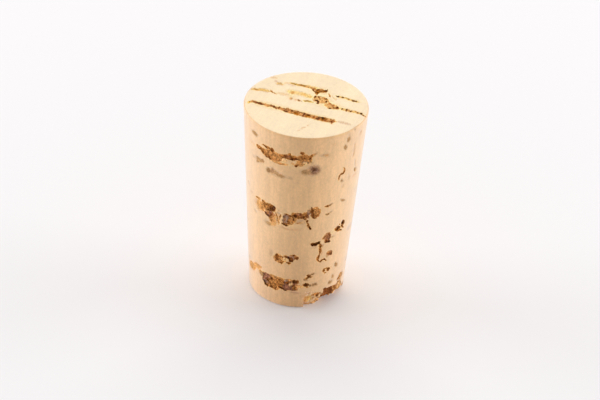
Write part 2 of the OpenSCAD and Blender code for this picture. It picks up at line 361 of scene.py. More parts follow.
RIGHT_LOWER = (
    # hooked crack: a dark slit, from which a line runs down and turns right
    Pit((35.2, 14.6), (1.1, 0.9), 1.3, "dark"),
    Pit((37.6, 14.4), (0.9, 0.65), 1.1, "dark"),
    Pit((38.5, 14.85), (0.8, 0.3), 0.8, "brown"),
    Pit((41.3, 14.75), (0.75, 0.6), 1.2, "dark"),
    Pit((36.3, 13.9), (1.2, 0.5), 0.1, "drab", 0, 0.4),
    Crack(((42, 14.5), (43.3, 14.0), (44.2, 13.3), (44, 12.6), (43.5, 12.0)), 0.5, 0.6, "brown"),
    Crack(((43.6, 12.2), (41.8, 11.3), (42.3, 10.7), (44.2, 10.25)), 0.42, 0.7, "brown"),
    Crack(((44, 10.25), (46.5, 10.55), (49, 10.7), (51.5, 10.4), (53.2, 10.1)), 0.36, 0.6, "brown"),
    Pit((49.5, 10.55), (0.8, 0.35), 0.8, "dark", 0, 0.8),
    Pit((46.3, 13.8), (0.35, 0.7), 0.2, "brown", 0, 0.7),
    Pit((45.7, 12.2), (0.6, 0.9), 0.1, "rust", 0, 0.5),
    # three-cornered pore on the right of the hook
    Pit((56.4, 11.7), (1.5, 1.2), 0.3, "mauve", -28, 0.8),
    Pit((57.0, 11.6), (1.2, 0.7), 0.5, "russet", -28, 0.95),
    Pit((54.4, 12.0), (0.6, 0.4), 0.3, "brown", 0, 0.6),
    Pit((52.6, 11.2), (0.6, 0.8), 0.1, "drab", 0, 0.55),
    # round pore over the hook
    Pit((51.2, 15.6), (1.4, 2.1), 0.4, "mauve", 0, 0.9),
    Crack(((49.6, 16.3), (50.4, 15.6), (50.0, 15.0)), 0.4, 0.6, "russet", 0.9),
    Crack(((52.6, 16.5), (53.4, 15.8), (53.2, 15.1)), 0.4, 0.6, "russet", 0.9),
    Pit((49.8, 14.75), (0.65, 0.8), 1.1, "dark"),
    Pit((52.6, 14.5), (1.2, 0.55), 0.8, "russet", -12),
    Pit((47.2, 15.8), (0.45, 1.0), 0.6, "brown", -15, 0.9),
    Pit((52.6, 16.4), (0.8, 0.4), 0.4, "brown", 0, 0.6),
    Pit((57, 15.35), (1.1, 0.4), 0.15, "drab", 0, 0.6),
    # two slanted pores that climb towards the +X side
    Pit((60, 16.5), (1.2, 1.1), 0.0, "gold", -10, 0.35),
    Pit((63.8, 16.75), (1.5, 0.8), 1.3, "dark", -12),
    Pit((60.5, 17.0), (0.6, 0.3), 0.3, "brown", 0, 0.6),
    Crack(((63.5, 16.3), (67, 16.05), (71, 15.85)), 0.44, 0.5, "brown"),
    Pit((71.7, 17.4), (1.0, 1.15), 1.4, "dark"),
    Crack(((68.8, 16.9), (71.0, 16.6), (74, 16.25)), 0.46, 0.9, "brown"),
    Pit((66.5, 17.4), (0.4, 0.3), 0.4, "brown", 0, 0.7),
    Pit((68, 16.5), (0.9, 0.4), 0.1, "amber", 0, 0.5),
    # faint grey spots
    Pit((88.5, 14.8), (2.4, 1.3), 0.05, "grey", -15, 0.45),
    Pit((96, 7.0), (2.2, 1.2), 0.05, "grey", -20, 0.35),
    # two short pores on the right of the long one
    Pit((33, 7.35), (0.8, 0.65), 0.8, "dark"),
    Pit((36.8, 7.65), (1.3, 0.45), 0.25, "drab", 8, 1.0),
    Pit((29.6, 6.6), (0.8, 0.9), 0.25, "drab", 0, 0.9),
    Pit((31.5, 6.9), (0.8, 0.4), 0.5, "brown", 10),
    Pit((35, 7.0), (0.9, 0.35), 0.3, "brown", 0, 0.7),
    Pit((31, 5.35), (1.1, 0.85), 0.9, "dark"),
    Pit((32.5, 4.8), (0.5, 0.5), 0.4, "brown", 0, 0.8),
    Pit((35.6, 5.2), (0.8, 0.5), 0.25, "drab"),
    Pit((41.3, 5.2), (1.2, 0.7), 0.25, "drab"),
    Pit((38.4, 5.2), (0.8, 0.3), 0.1, "drab", 0, 0.5),
    Pit((26, 4.9), (1.2, 0.6), 0.1, "amber", 0, 0.6),
    # ring of small pores round a crumb, and the spots on its right
    Pit((51.2, 8.0), (0.6, 0.7), 0.6, "brown"),
    Pit((54, 8.4), (1.0, 0.3), 0.6, "brown"),
    Pit((57, 7.95), (0.7, 0.9), 0.7, "brown", 10),
    Pit((53.3, 7.4), (0.6, 0.35), 0.4, "brown", 0, 0.7),
    Pit((60, 8.2), (0.6, 0.5), 0.1, "rust", 0, 0.5),
    Pit((69, 8.2), (0.8, 1.4), 0.2, "drab", 25, 0.95),
    Pit((62.3, 4.6), (1.2, 1.1), 0.2, "drab", 0, 0.85),
    Pit((65.5, 5.7), (0.8, 1.1), 0.15, "drab", 15, 0.7),
)

RIGHT_UPPER = (
    # curled crack
    Crack(((57.3, 27.8), (57, 28.6), (58.6, 29.15), (60.6, 29.05), (62.5, 29.3), (62.8, 29.9), (61.6, 30.4)),
          0.36, 0.5, "brown", 0.85),
    Pit((60.4, 29.05), (0.9, 0.45), 0.6, "brown", 0, 0.9),
    Pit((63.4, 29.5), (0.4, 0.7), 0.7, "brown", 0, 0.8),
    Pit((61.2, 27.6), (0.55, 0.85), 0.25, "drab", 20, 1.0),
    Pit((63.5, 26.2), (0.6, 1.0), 0.1, "brown", 0, 0.3),
    Pit((71, 27.5), (0.7, 1.0), 0.1, "brown", 15, 0.3),
    # spots and streaks under the rim
    Pit((63.6, 36.3), (0.85, 1.4), 0.2, "drab", 0, 0.75),
    Pit((63.4, 37.3), (0.6, 0.8), 0.1, "drab", 0, 0.4),
    Pit((60.6, 34.8), (0.85, 1.4), 0.2, "drab", 15, 0.75),
    Crack(((73.3, 34.5), (73.9, 33.0), (73.9, 31.6)), 0.66, 0.1, "brown", 0.45),
    Pit((71, 37.8), (0.5, 0.7), 0.2, "grey", 0, 0.6),
    Pit((81.8, 36.1), (1.2, 1.1), 0.1, "brown", -15, 0.4),
    # stains near the +X side
    Crack(((77.5, 30.8), (79.5, 29.6), (81, 28.6)), 0.6, 0.1, "drab", 0.4),
    Pit((81.6, 28.2), (1.2, 0.8), 0.25, "drab", -20, 0.8),
    Pit((80.5, 27.05), (1.9, 0.7), 0.1, "rust", -14, 0.5),
    Pit((85, 25.0), (3.0, 2.0), 0.0, "gold", -20, 0.2),
    Pit((92, 22.9), (2.4, 1.5), 0.0, "drab", -15, 0.2),
    # thin streaks on the right of the middle pore
    Crack(((44.3, 22.6), (47, 22.7), (50.5, 22.9), (53.2, 23.15)), 0.44, 0.2, "drab", 0.95),
    Pit((46.5, 22.7), (0.8, 0.35), 0.5, "brown"),
    Pit((48, 20.9), (0.7, 0.55), 0.3, "drab"),
    Pit((50.7, 21.35), (1.1, 0.35), 0.2, "drab", 10, 0.65),
    Crack(((63, 23.4), (66, 22.9), (69.3, 22.5)), 0.5, 0.15, "drab", 0.9),
    Pit((41.5, 34.1), (0.9, 0.9), 0.05, "brown", 0, 0.35),
    Pit((47.5, 36.3), (1.0, 0.5), 0.05, "rust", 0, 0.3),
)

BREAK_CRUMBS = (
    # crumbs over the break's left end
    Pit((44.5, 2.7), (1.7, 0.7), 0.3, "rust"),
    Pit((42.5, 1.7), (0.7, 0.8), 0.25, "brown", 0, 0.5),
    Pit((46.3, 2.2), (0.6, 0.8), 0.5, "brown"),
    Pit((33.5, 1.7), (1.6, 1.7), 0.1, "amber", 0, 0.7),
    Pit((37.5, 1.8), (1.3, 1.6), 0.1, "gold", 0, 0.6),
    Pit((35.6, 1.9), (0.5, 0.8), 0.3, "brown", 0, 0.6),
    Pit((41.0, 2.4), (1.2, 0.5), 0.2, "rust", 0, 0.7),
    Pit((27.2, 2.7), (0.9, 0.6), 0.05, "rust", 0, 0.5),
    Pit((36, 3.1), (2.0, 0.5), 0.05, "mauve", 0, 0.3),
    # slit that runs up from the break's right end
    Pit((82.8, 4.3), (1.8, 1.8), 0.25, "brown", -15, 0.7),
    Crack(((78, 3.2), (79.5, 3.8), (80.5, 4.8)), 0.5, 0.3, "drab", 0.8),
    Crack(((79.5, 3.6), (83, 4.1), (86, 4.3)), 0.5, 0.4, "brown", 0.6),
)

BACK = (
    Pit((172, 30.9), (8.4, 1.7), 0.8, "amber", 3),
    Pit((164, 30.6), (2.4, 1.0), 1.0, "brown"),
    Pit((178, 31.2), (3.0, 1.1), 1.1, "brown", 3),
    Pit((181, 31.3), (1.2, 0.7), 1.2, "dark"),
    Pit((168, 30.9), (1.2, 0.6), -0.3, "pale"),
    Pit((186, 31.3), (1.6, 0.8), 0.9, "grey"),
    Pit((203, 26.2), (3.2, 0.8), 0.4, "grey", -4, 0.8),
    Pit((199, 26.3), (1.2, 0.5), 0.5, "brown"),
    Pit((163, 22.1), (4.2, 1.1), 0.6, "rust", -6),
    Pit((159, 22.2), (1.4, 0.7), 0.9, "dark"),
    Crack(((168, 21.8), (173, 21.4), (178, 21.5)), 0.35, 0.4, "brown"),
    Pit((186, 16.4), (8.2, 2.2), 0.8, "amber", 4),
    Pit((179, 16.0), (3.0, 1.6), 1.1, "brown"),
    Pit((190, 16.8), (3.2, 1.5), 1.1, "grey", 4),
    Pit((177, 16.1), (1.3, 0.8), 1.3, "dark"),
    Pit((192, 16.9), (1.4, 0.8), 1.3, "dark"),
    Pit((185, 16.2), (1.1, 0.7), -0.3, "pale"),
    Crack(((198, 15.6), (203, 14.8), (205, 14.0)), 0.4, 0.5, "brown"),
    Pit((158, 10.8), (3.6, 1.2), 0.6, "brown", -5),
    Pit((155, 10.9), (1.1, 0.7), 0.9, "dark"),
    Pit((196, 6.6), (5.8, 1.7), 0.8, "grey", -4),
    Pit((191, 6.8), (2.0, 1.1), 1.0, "brown"),
    Pit((200, 6.4), (1.6, 0.9), 1.1, "dark"),
    Pit((205, 6.2), (1.6, 1.0), 0.6, "amber"),
    Pit((174, 36.0), (1.4, 0.5), 0.15, "grey", 0, 0.5),
    Pit((150, 34.2), (1.0, 0.5), 0.3, "brown", 0, 0.7),
    Pit((214, 33.4), (1.5, 0.6), 0.3, "amber", 6, 0.8),
    Pit((170, 26.0), (0.8, 0.4), 0.2, "brown", 0, 0.6),
    Pit((148, 27.4), (1.2, 0.5), 0.3, "brown", 8, 0.7),
    Pit((215, 20.2), (1.3, 0.5), 0.3, "brown", 0, 0.7),
    Pit((145, 16.6), (1.2, 0.5), 0.3, "amber", -6, 0.7),
    Pit((172, 4.0), (1.6, 0.6), 0.3, "brown", 0, 0.6),
)

# Where the pores are cut end-on they show as dots and short upright streaks.
LEFT = (
    Pit((-84, 29.0), (0.9, 1.3), 0.9, "dark"),
    Pit((-82, 28.4), (0.8, 0.8), 0.6, "brown"),
    Pit((-98, 20.2), (0.7, 1.9), 0.8, "brown"),
    Pit((-97.5, 20.6), (0.5, 0.8), 1.0, "dark"),
    Pit((-76, 13.4), (1.3, 0.9), 0.7, "brown"),
    Pit((-77, 13.5), (0.7, 0.5), 0.9, "dark"),
    Pit((-104, 8.2), (1.4, 1.0), 0.7, "rust"),
    Pit((-103, 8.3), (0.7, 0.6), 0.9, "dark"),
    Crack(((-92, 35.6), (-91.5, 34.6), (-92.4, 33.2)), 0.3, 0.4, "brown", 0.8),
    Crack(((-112, 26.0), (-111, 25.2), (-112.5, 23.8)), 0.35, 0.5, "brown"),
    Pit((-68, 24.8), (0.5, 0.9), 0.3, "brown", 0, 0.7),
    Pit((-88, 24.2), (0.4, 0.6), 0.3, "brown", 0, 0.6),
    Pit((-70, 17.6), (0.4, 0.7), 0.3, "brown", 0, 0.6),
    Pit((-110, 14.2), (0.5, 0.9), 0.4, "brown", 0, 0.8),
    Pit((-90, 15.4), (0.5, 0.5), 0.3, "grey", 0, 0.6),
    Pit((-87, 4.6), (0.6, 0.9), 0.5, "brown"),
    Pit((-118, 32.0), (0.8, 0.5), 0.4, "brown", 0, 0.8),
    Pit((-120, 18.8), (1.2, 0.5), 0.4, "amber", 0, 0.8),
    Pit((-66, 9.4), (0.7, 0.5), 0.3, "brown", 0, 0.7),
)

RIGHT_SIDE = (
    Crack(((106, 25.4), (105, 24.6), (106.5, 23.4), (105.6, 22.4)), 0.35, 0.5, "brown"),
    Pit((108, 20.6), (0.6, 0.6), 0.6, "brown"),
    Pit((115, 29.0), (0.9, 0.6), 0.4, "brown", 0, 0.8),
    Pit((116, 11.8), (1.0, 1.2), 0.8, "brown"),
    Pit((116.5, 11.6), (0.6, 0.6), 1.0, "dark"),
    Pit((112, 16.4), (0.5, 1.1), 0.5, "brown"),
    Pit((120, 7.8), (1.2, 0.6), 0.5, "rust"),
    Pit((125, 20.6), (1.4, 0.6), 0.5, "brown", 5),
    Pit((128, 33.8), (1.2, 0.5), 0.3, "brown", 0, 0.7),
    Pit((120, 36.0), (0.4, 0.9), 0.2, "brown", 0, 0.5),
    Pit((110, 3.6), (0.9, 0.6), 0.4, "amber", 0, 0.8),
)

SIDE_MARKS = (FRONT_UPPER + FRONT_MIDDLE + FRONT_LOWER + RIGHT_LOWER + RIGHT_UPPER + BREAK_CRUMBS
              + BACK + LEFT + RIGHT_SIDE)

TOP_MARKS = (
    # yellow stain round the grooves
    Crack(((-8.5, -3.25), (-3.0, -3.2), (6.6, -3.2)), 1.9, 0.0, "gold", 0.45),
    Pit((0.7, 5.0), (3.6, 2.6), 0.0, "gold", 0, 0.45),
    Pit((2.0, 2.3), (4.4, 3.4), 0.0, "gold", -20, 0.45),
    Pit((4.8, 1.4), (3.8, 2.2), 0.0, "gold", 0, 0.4),
    Crack(((3.6, 4.8), (8.4, 4.6)), 1.2, 0.0, "gold", 0.25),
    # front groove, from left to right
    Crack(((-9.4, -3.7), (-8.9, -3.15), (-7.6, -3.2), (-6.4, -3.25), (-5.2, -3.15), (-4.2, -3.3),
           (-3.0, -3.3)), 0.7, 0.3, "amber"),
    Pit((-9.3, -3.6), (0.5, 0.7), 0.4, "gold"),
    Pit((-7.7, -3.2), (2.1, 0.5), 0.5, "russet"),
    Pit((-7.2, -3.4), (0.9, 0.5), 0.6, "russet"),
    Pit((-5.8, -3.3), (1.0, 0.7), 0.4, "rust"),
    Crack(((-5.6, -2.8), (-4.9, -3.15), (-4.1, -3.75)), 0.34, 0.4, "russet"),
    Pit((-3.8, -3.15), (0.32, 1.0), 0.5, "dark"),
    Crack(((-3.4, -3.3), (-2.6, -3.35), (1.5, -3.4), (4.0, -3.3), (6.5, -3.2)), 1.25, 0.35, "rust"),
    Pit((4.9, -3.3), (2.8, 1.1), 0.4, "umber", 0, 0.35),
    Crack(((6.2, -2.55), (6.15, -3.3), (6.25, -3.95)), 0.42, 0.4, "rust"),
    Pit((-2.6, -3.65), (1.1, 0.45), 0.6, "russet"),
    Pit((-1.6, -3.1), (0.5, 0.7), 0.7, "brown"),
    Pit((-1.2, -2.85), (0.5, 0.35), 0.3, "amber"),
    Pit((-0.5, -3.55), (0.9, 0.75), 0.7, "umber"),
    Pit((-0.3, -2.95), (0.4, 0.4), 0.6, "brown"),
    Pit((0.35, -3.3), (0.4, 0.6), 0.5, "amber"),
    Pit((0.85, -3.45), (0.4, 1.25), 0.8, "russet"),
    Pit((1.65, -3.35), (0.85, 0.95), 0.8, "umber"),
    Pit((2.25, -3.1), (0.35, 0.6), 0.5, "amber"),
    Pit((2.8, -3.4), (0.55, 0.7), 1.0, "brown"),
    Pit((3.5, -3.45), (0.42, 1.05), 0.8, "russet"),
    Pit((3.1, -2.85), (0.5, 0.3), 0.4, "amber"),
    Pit((4.4, -3.35), (1.1, 0.95), 0.7, "umber"),
    Pit((4.05, -2.95), (0.4, 0.4), 1.0, "russet"),
    Pit((4.75, -3.6), (0.5, 0.35), 1.0, "russet"),
    Pit((5.4, -3.1), (0.35, 0.8), 0.4, "amber"),
    Pit((6.1, -3.5), (0.38, 0.95), 0.7, "russet"),
    Crack(((6.7, -2.95), (8.0, -2.85), (9.4, -2.95)), 0.7, 0.05, "drab", 0.22),
    Pit((10.4, -3.7), (0.35, 1.1), 0.2, "brown", 20, 0.45),
    # middle groove
    Crack(((-10.6, 0.4), (-9.8, 0.8), (-8.6, 1.15), (-7.2, 1.2)), 0.9, 0.1, "gold", 0.7),
    Pit((-9.75, 0.7), (0.85, 0.6), 0.3, "brown", 0, 0.6),
    Crack(((-7.4, 1.65), (-7.0, 1.35), (-6.0, 0.85)), 0.32, 0.4, "brown", 0.9),
    Crack(((-6.1, 1.3), (-4.6, 1.4), (-3.4, 1.6)), 0.7, 0.05, "gold", 0.4),
    Pit((-3.05, 0.55), (0.7, 0.75), 0.2, "brown", 0, 0.75),
    Pit((-3.5, 1.5), (0.8, 0.5), 0.05, "gold", 0, 0.4),
    Crack(((-1.95, 1.0), (-1.75, 0.6), (-1.2, 0.5)), 0.55, 0.25, "drab", 1.0),
    Pit((-1.6, 0.5), (0.5, 0.35), 0.5, "brown", 0, 0.8),
    Crack(((-0.9, 0.75), (-0.2, 1.0), (0.9, 1.05)), 0.55, 0.35, "gold"),
    Pit((-0.1, 1.0), (0.9, 0.25), 0.45, "brown", 0, 0.6),
    Crack(((-4.4, 2.6), (-3.0, 2.8), (-1.5, 2.8), (0.2, 2.6)), 1.4, 0.0, "gold", 0.7),
    Pit((-3.9, 2.7), (1.8, 1.5), 0.0, "gold", 0, 0.7),
    Pit((-1.5, 2.8), (1.6, 1.1), 0.0, "gold", 0, 0.75),
    Pit((-0.3, 2.5), (1.2, 1.2), 0.0, "gold", 0, 0.75),
    Pit((-3.5, 2.55), (0.75, 1.1), 0.1, "brown", 0, 0.8),
    Pit((-1.6, 2.85), (1.2, 0.8), 0.1, "brown", 0, 0.45),
    Pit((-0.4, 2.5), (0.8, 0.9), 0.1, "brown", 0, 0.35),
    Pit((-3.1, 1.2), (1.8, 1.7), 0.0, "gold", 0, 0.3),
    Pit((-2.2, 0.6), (0.5, 0.9), 0.1, "amber", 0, 0.4),
    # crumbled hollow in the middle
    Pit((1.7, 2.3), (2.9, 2.5), 0.25, "amber", 0, 0.65),
    Pit((0.55, 2.9), (0.38, 1.0), 0.7, "umber"),
    Pit((1.15, 3.1), (0.4, 0.7), 0.5, "rust"),
    Pit((0.95, 1.9), (0.7, 0.45), 0.9, "brown"),
    Crack(((1.15, 2.1), (1.45, 1.7), (1.85, 1.0)), 0.5, 1.2, "russet"),
    Pit((1.7, 1.1), (0.5, 0.5), 1.4, "dark"),
    Crack(((1.35, 3.2), (1.6, 2.7), (1.8, 2.3)), 0.3, 0.8, "brown"),
    Pit((2.5, 3.0), (0.8, 0.5), 0.7, "umber"),
    Pit((2.1, 3.3), (0.6, 0.35), 0.4, "amber"),
    Pit((2.8, 2.25), (0.42, 0.8), 1.0, "umber"),
    Pit((2.2, 2.2), (0.5, 0.6), 0.5, "amber"),
    Pit((2.45, 1.7), (0.6, 0.4), 0.5, "rust", 0, 0.7),
    Crack(((2.9, 2.9), (3.3, 2.3), (3.5, 1.9)), 0.35, 0.3, "amber"),
    # crumbs to its right
    Pit((4.3, 1.25), (2.9, 1.6), 0.3, "amber", -8, 0.8),
    Pit((3.7, 1.8), (0.35, 0.8), 0.5, "rust", 20),
    Pit((4.4, 1.55), (0.4, 0.9), 0.6, "rust", 20),
    Pit((4.1, 0.5), (0.7, 0.42), 1.0, "dark"),
    Pit((4.75, 0.9), (0.4, 0.5), 0.6, "brown"),
    Pit((5.3, 1.2), (0.55, 0.95), 0.9, "brown"),
    Pit((5.3, 1.0), (0.3, 0.4), 1.0, "dark"),
    Crack(((5.6, 1.25), (7.5, 1.25), (10.2, 1.2)), 0.8, 0.1, "gold", 0.7),
    Pit((6.25, 1.3), (0.4, 0.55), 0.7, "brown"),
    Pit((7.05, 1.25), (0.42, 0.75), 0.9, "dark", 0, 0.9),
    Pit((7.45, 1.35), (0.3, 0.4), 0.5, "brown"),
    Pit((7.9, 1.2), (0.5, 0.5), 0.8, "brown"),
    Pit((8.6, 1.3), (0.3, 0.3), 0.4, "brown", 0, 0.6),
    Pit((9.15, 1.2), (0.55, 0.35), 0.6, "brown"),
    Pit((9.9, 1.2), (0.5, 0.6), 0.9, "dark"),
    Crack(((10.0, 1.1), (10.4, 0.85), (10.9, 0.65)), 0.4, 0.4, "brown", 0.8),
    # back groove
    Pit((-6.6, 4.35), (1.7, 0.9), 0.1, "gold", -8, 0.7),
    Pit((-6.6, 4.35), (1.2, 0.6), 0.2, "drab", -8, 0.45),
    Crack(((-7.9, 5.1), (-7.3, 4.7), (-6.6, 4.4)), 0.6, 0.05, "ash", 0.35),
    Crack(((-6.3, 4.7), (-5.6, 5.1), (-4.8, 5.4)), 0.6, 0.05, "gold", 0.5),
    Pit((-4.7, 4.85), (1.5, 0.7), 0.05, "ash", 0, 0.35),
    Crack(((-2.4, 5.85), (-1.0, 5.9), (0.3, 5.8)), 0.7, 0.0, "gold", 0.7),
    Crack(((-5.0, 5.3), (-2.6, 5.5), (-1.0, 5.4), (0.2, 5.3)), 0.65, 0.3, "gold"),
    Pit((-4.3, 5.35), (1.1, 0.4), 0.3, "brown", 0, 0.5),
    Pit((-2.8, 5.5), (1.6, 0.42), 0.5, "brown", 0, 0.9),
    Pit((-1.4, 5.5), (1.5, 0.55), 0.3, "amber", 0, 0.9),
    Pit((-0.5, 5.2), (0.8, 0.5), 0.5, "rust"),
    Crack(((-1.1, 5.2), (-0.5, 4.75), (0.3, 4.2)), 0.36, 0.7, "brown"),
    Pit((0.7, 5.2), (1.9, 1.1), 0.5, "umber", 15, 0.9),
    Pit((0.45, 4.6), (0.75, 1.6), 0.7, "umber"),
    Pit((1.45, 5.55), (0.9, 0.7), 0.6, "umber"),
    Pit((0.15, 4.95), (0.45, 0.7), 0.9, "dark", 0, 0.7),
    Pit((0.5, 4.3), (0.4, 1.3), 0.9, "umber", 12, 1.0),
    Pit((0.95, 5.15), (0.8, 0.4), 0.8, "dark", 0, 0.6),
    Crack(((1.75, 6.05), (1.8, 5.6), (1.75, 5.2)), 0.38, 0.9, "dark"),
    Pit((0.75, 5.75), (0.8, 0.3), 0.4, "amber"),
    Crack(((2.3, 4.9), (2.65, 4.6), (2.85, 4.0)), 0.34, 0.4, "brown", 0.8),
    Crack(((3.1, 4.9), (3.5, 4.0), (4.3, 3.3)), 0.3, 0.05, "gold", 0.5),
    Crack(((3.7, 4.85), (5.2, 4.8), (6.4, 4.65), (8.3, 4.5)), 0.6, 0.2, "gold", 0.8),
    Pit((4.1, 4.75), (0.62, 0.55), 1.0, "dark"),
    Pit((5.0, 4.9), (0.6, 0.42), 0.9, "dark", 0, 0.8),
    Pit((6.2, 4.7), (0.6, 0.35), 0.5, "brown", 0, 0.8),
    Pit((7.3, 4.55), (1.0, 0.5), 0.8, "dark", 0, 0.75),
    Pit((4.0, 3.75), (0.5, 0.5), 0.1, "gold", 0, 0.7),
    # stains and scratches
    Pit((-8.3, 5.8), (1.6, 0.6), 0.05, "gold", 0, 0.3),
    Crack(((3.0, -5.3), (2.3, -7.2), (1.5, -9.0)), 0.25, 0.04, "amber", 0.2),
)

FOOT_MARKS = (
    # three grooves with darker hollows in them
    Crack(((-6.6, -2.9), (-4.0, -2.7), (-1.6, -2.9), (1.8, -2.8)), 0.8, 0.7, "brown"),
    Pit((-4.6, -2.8), (1.2, 0.5), 1.0, "dark"),
    Pit((-1.0, -2.8), (1.4, 0.5), 1.0, "dark"),
    Crack(((-1.8, 2.2), (0.6, 2.4), (3.0, 2.1), (5.2, 2.2)), 0.65, 0.6, "rust"),
    Pit((2.2, 2.2), (1.2, 0.5), 0.9, "dark"),
    Crack(((-4.4, 5.2), (-2.2, 5.3), (1.2, 5.1)), 0.5, 0.5, "amber"),
    Pit((-2.4, 5.3), (0.9, 0.4), 0.7, "brown"),
    # fine ones between them
    Crack(((-7.4, 0.6), (-5.4, 0.7), (-3.4, 0.5)), 0.35, 0.3, "amber", 0.8),
    Pit((0.8, -0.4), (1.4, 0.5), 0.3, "amber", 0, 0.7),
    Pit((-3.2, -5.8), (1.8, 0.5), 0.3, "brown", 0, 0.7),
)

# Slanted breaks in the edge of the foot: (bearing, width, height at the side, reach inwards at
# the foot), a bearing in degrees and the rest in mm
BREAKS = ((33.4, 1.0, 3.1, 0.9), (38.6, 0.9, 2.9, 0.95), (43.6, 0.9, 2.8, 0.95), (48.0, 0.9, 2.6, 1.0),
          (51.8, 0.7, 2.0, 1.25), (57.5, 1.0, 3.15, 1.85), (62.8, 1.2, 2.9, 2.0), (68.8, 1.2, 2.7, 1.8),
          (79.5, 0.9, 3.4, 1.0), (84.5, 0.9, 2.9, 0.9), (89.5, 0.9, 1.9, 0.8), (94.5, 0.9, 1.3, 0.6),
          (99.0, 0.8, 0.9, 0.4))
BLOCK = 6.0  # mm, thickness and length of the block that cuts each of them
# Scoops that hollow the break out below its lip: (bearing, height, radius, stand-out)
SCOOPS = ((62.8, 1.9, 1.5, -0.35), (67.5, 1.5, 1.7, -0.1), (72, 1.3, 1.7, 0.0), (76.5, 1.6, 1.55, 0.15))
BREAK_NET = 0.14  # mm, net of the joined blocks and scoops
BREAK_ROUGHNESS = (("CLOUDS", 1.3, 0.5), ("VORONOI", 0.8, 0.4))  # (texture, lump and travel in mm)
BREAK_ZONES = (("russet", 1.1, 49.0, 76.5), ("rust", 1.15, 76.5, 83.5))  # (tint, tone, from, to degrees)
BREAK_CRUMB, BREAK_PATCH = 0.5, 1.2  # mm across
BREAK_HEIGHT = 5.0  # mm, above which no broken cork lies
BREAK_SKIN = 0.06  # mm under the side and over the foot that still count as unbroken


# ---------------------------------------------------------------------------------------------
# Helpers
# ---------------------------------------------------------------------------------------------

def deselect_all():
    """Leaves edit mode and deselects every object."""
    if bpy.context.object and bpy.context.object.mode != "OBJECT":
        bpy.ops.object.mode_set(mode="OBJECT")
    bpy.ops.object.select_all(action="DESELECT")


def pick(obj):
    """Makes obj the only selected object and the active one."""
    deselect_all()
    obj.select_set(True)
    bpy.context.view_layer.objects.active = obj


@contextlib.contextmanager
def editing(obj, mode="FACE"):
    """Edit mode on obj with nothing selected, in vertex, edge or face mode."""
    pick(obj)
    bpy.ops.object.mode_set(mode="EDIT")
    bpy.ops.mesh.select_mode(type=mode)
    bpy.ops.mesh.select_all(action="DESELECT")
    yield
    bpy.ops.object.mode_set(mode="OBJECT")


def select_edges(obj, wanted):
    """Selects the edges of obj, in edit mode, that wanted holds for."""
    mesh = bmesh.from_edit_mesh(obj.data)
    for edge in mesh.edges:
        edge.select_set(bool(wanted(edge)))
    bmesh.update_edit_mesh(obj.data)


def select_faces(obj, flags):
    """Selects the faces of obj, in edit mode, whose flag is set."""
    mesh = bmesh.from_edit_mesh(obj.data)
    mesh.faces.ensure_lookup_table()
    for face in mesh.faces:
        face.select_set(bool(flags[face.index]))
    bmesh.update_edit_mesh(obj.data)


def rise(edge):
    """Height in metres from one end of an edge to the other."""
    return abs(edge.verts[0].co.z - edge.verts[1].co.z)


def apply_modifier(obj, kind, **settings):
    """Adds a modifier with these settings to obj and applies it."""
    pick(obj)
    modifier = obj.modifiers.new(kind.lower(), kind)
    for name, value in settings.items():
        setattr(modifier, name, value)
    bpy.ops.object.modifier_apply(modifier=modifier.name)


def read_numbers(items, name, width=1, kind=np.float32):
    """One property of all items of a mesh, as an array with a row for each item."""
    values = np.empty(len(items) * width, dtype=kind)
    items.foreach_get(name, values)
    return values.reshape(-1, width) if width > 1 else values


def vertex_places(mesh):
    """Places of the mesh's vertices in mm."""
    return read_numbers(mesh.vertices, "co", 3).astype(float) / MM


def vertex_normals(mesh):
    return read_numbers(mesh.vertices, "normal", 3).astype(float)


def face_centres(mesh):
    """Middles of the mesh's faces in mm."""
    return read_numbers(mesh.polygons, "center", 3).astype(float) / MM


def face_normals(mesh):
    return read_numbers(mesh.polygons, "normal", 3).astype(float)


def side_radius(height):
    """Radius of the plain side at a height, both in mm."""
    sizes = bpy.context.scene.cork_sizes
    share = height * MM / sizes.height
    return (sizes.foot_radius + (sizes.top_radius - sizes.foot_radius) * share) / MM


def on_side(bearing, height, out=0.0):
    """Place in mm over a bearing and height of the side."""
    angle = math.radians(bearing)
    radius = side_radius(height) + out
    return Vector((radius * math.sin(angle), -radius * math.cos(angle), height))


def bumpy(places, cell, seed):
    """Noise of about -1 to 1 at each place, with lumps about cell mm across."""
    shift = Vector((seed * 17.3, seed * 5.1, seed * 9.7))
    return np.array([noise.noise(Vector(place) / cell + shift) for place in places]) * 1.6


def crumbly(places, cell, seed):
    """Cell noise of about 0 on the middle of each crumb to 1 between crumbs."""
    shift = Vector((seed * 7.9, seed * 3.7, seed * 13.1))
    near = np.array([noise.voronoi(Vector(place) / cell + shift)[0][:2] for place in places])
    return np.clip(1.0 - (near[:, 1] - near[:, 0]) * 1.8, 0.0, 1.0)


# ---------------------------------------------------------------------------------------------
# Carving the marks
# ---------------------------------------------------------------------------------------------

REFINE_STEPS = (0.75, 0.4)  # mm round the marks within which faces are halved, step by step
STAIN_DEPTH = 0.25  # mm, marks no deeper than this are stains with a soft outline
WANDER = ((0.9, 0.10), (0.38, 0.09))  # (lump size, reach) in mm by which outlines wander
TAPER = 1.0  # mm over which a crack narrows towards each end
CRACK_TIP = 0.35  # share of its width that is left at the very end

EDGE = 0.09  # mm over which a pit's wall falls
SHELF = 0.45  # share of its depth that a pit has at its wall, before it bowls down
FLOOR_LUMP, FLOOR_WAVE = 0.8, 0.35  # mm across and share of the depth: the floor's unevenness
CRUMB, CRUMB_HEIGHT = 0.36, 0.22  # mm across and mm high: crumbs on the floor
GRIT, GRIT_HEIGHT = 0.25, 0.06  # mm across and mm high: grit between them
PATCH = 0.5  # mm across, patches of lighter and darker dust
FILL = 0.75  # share of a hollow that a crumb in it fills
ROUGH_FROM = 0.3  # mm, a floor this deep is fully rough

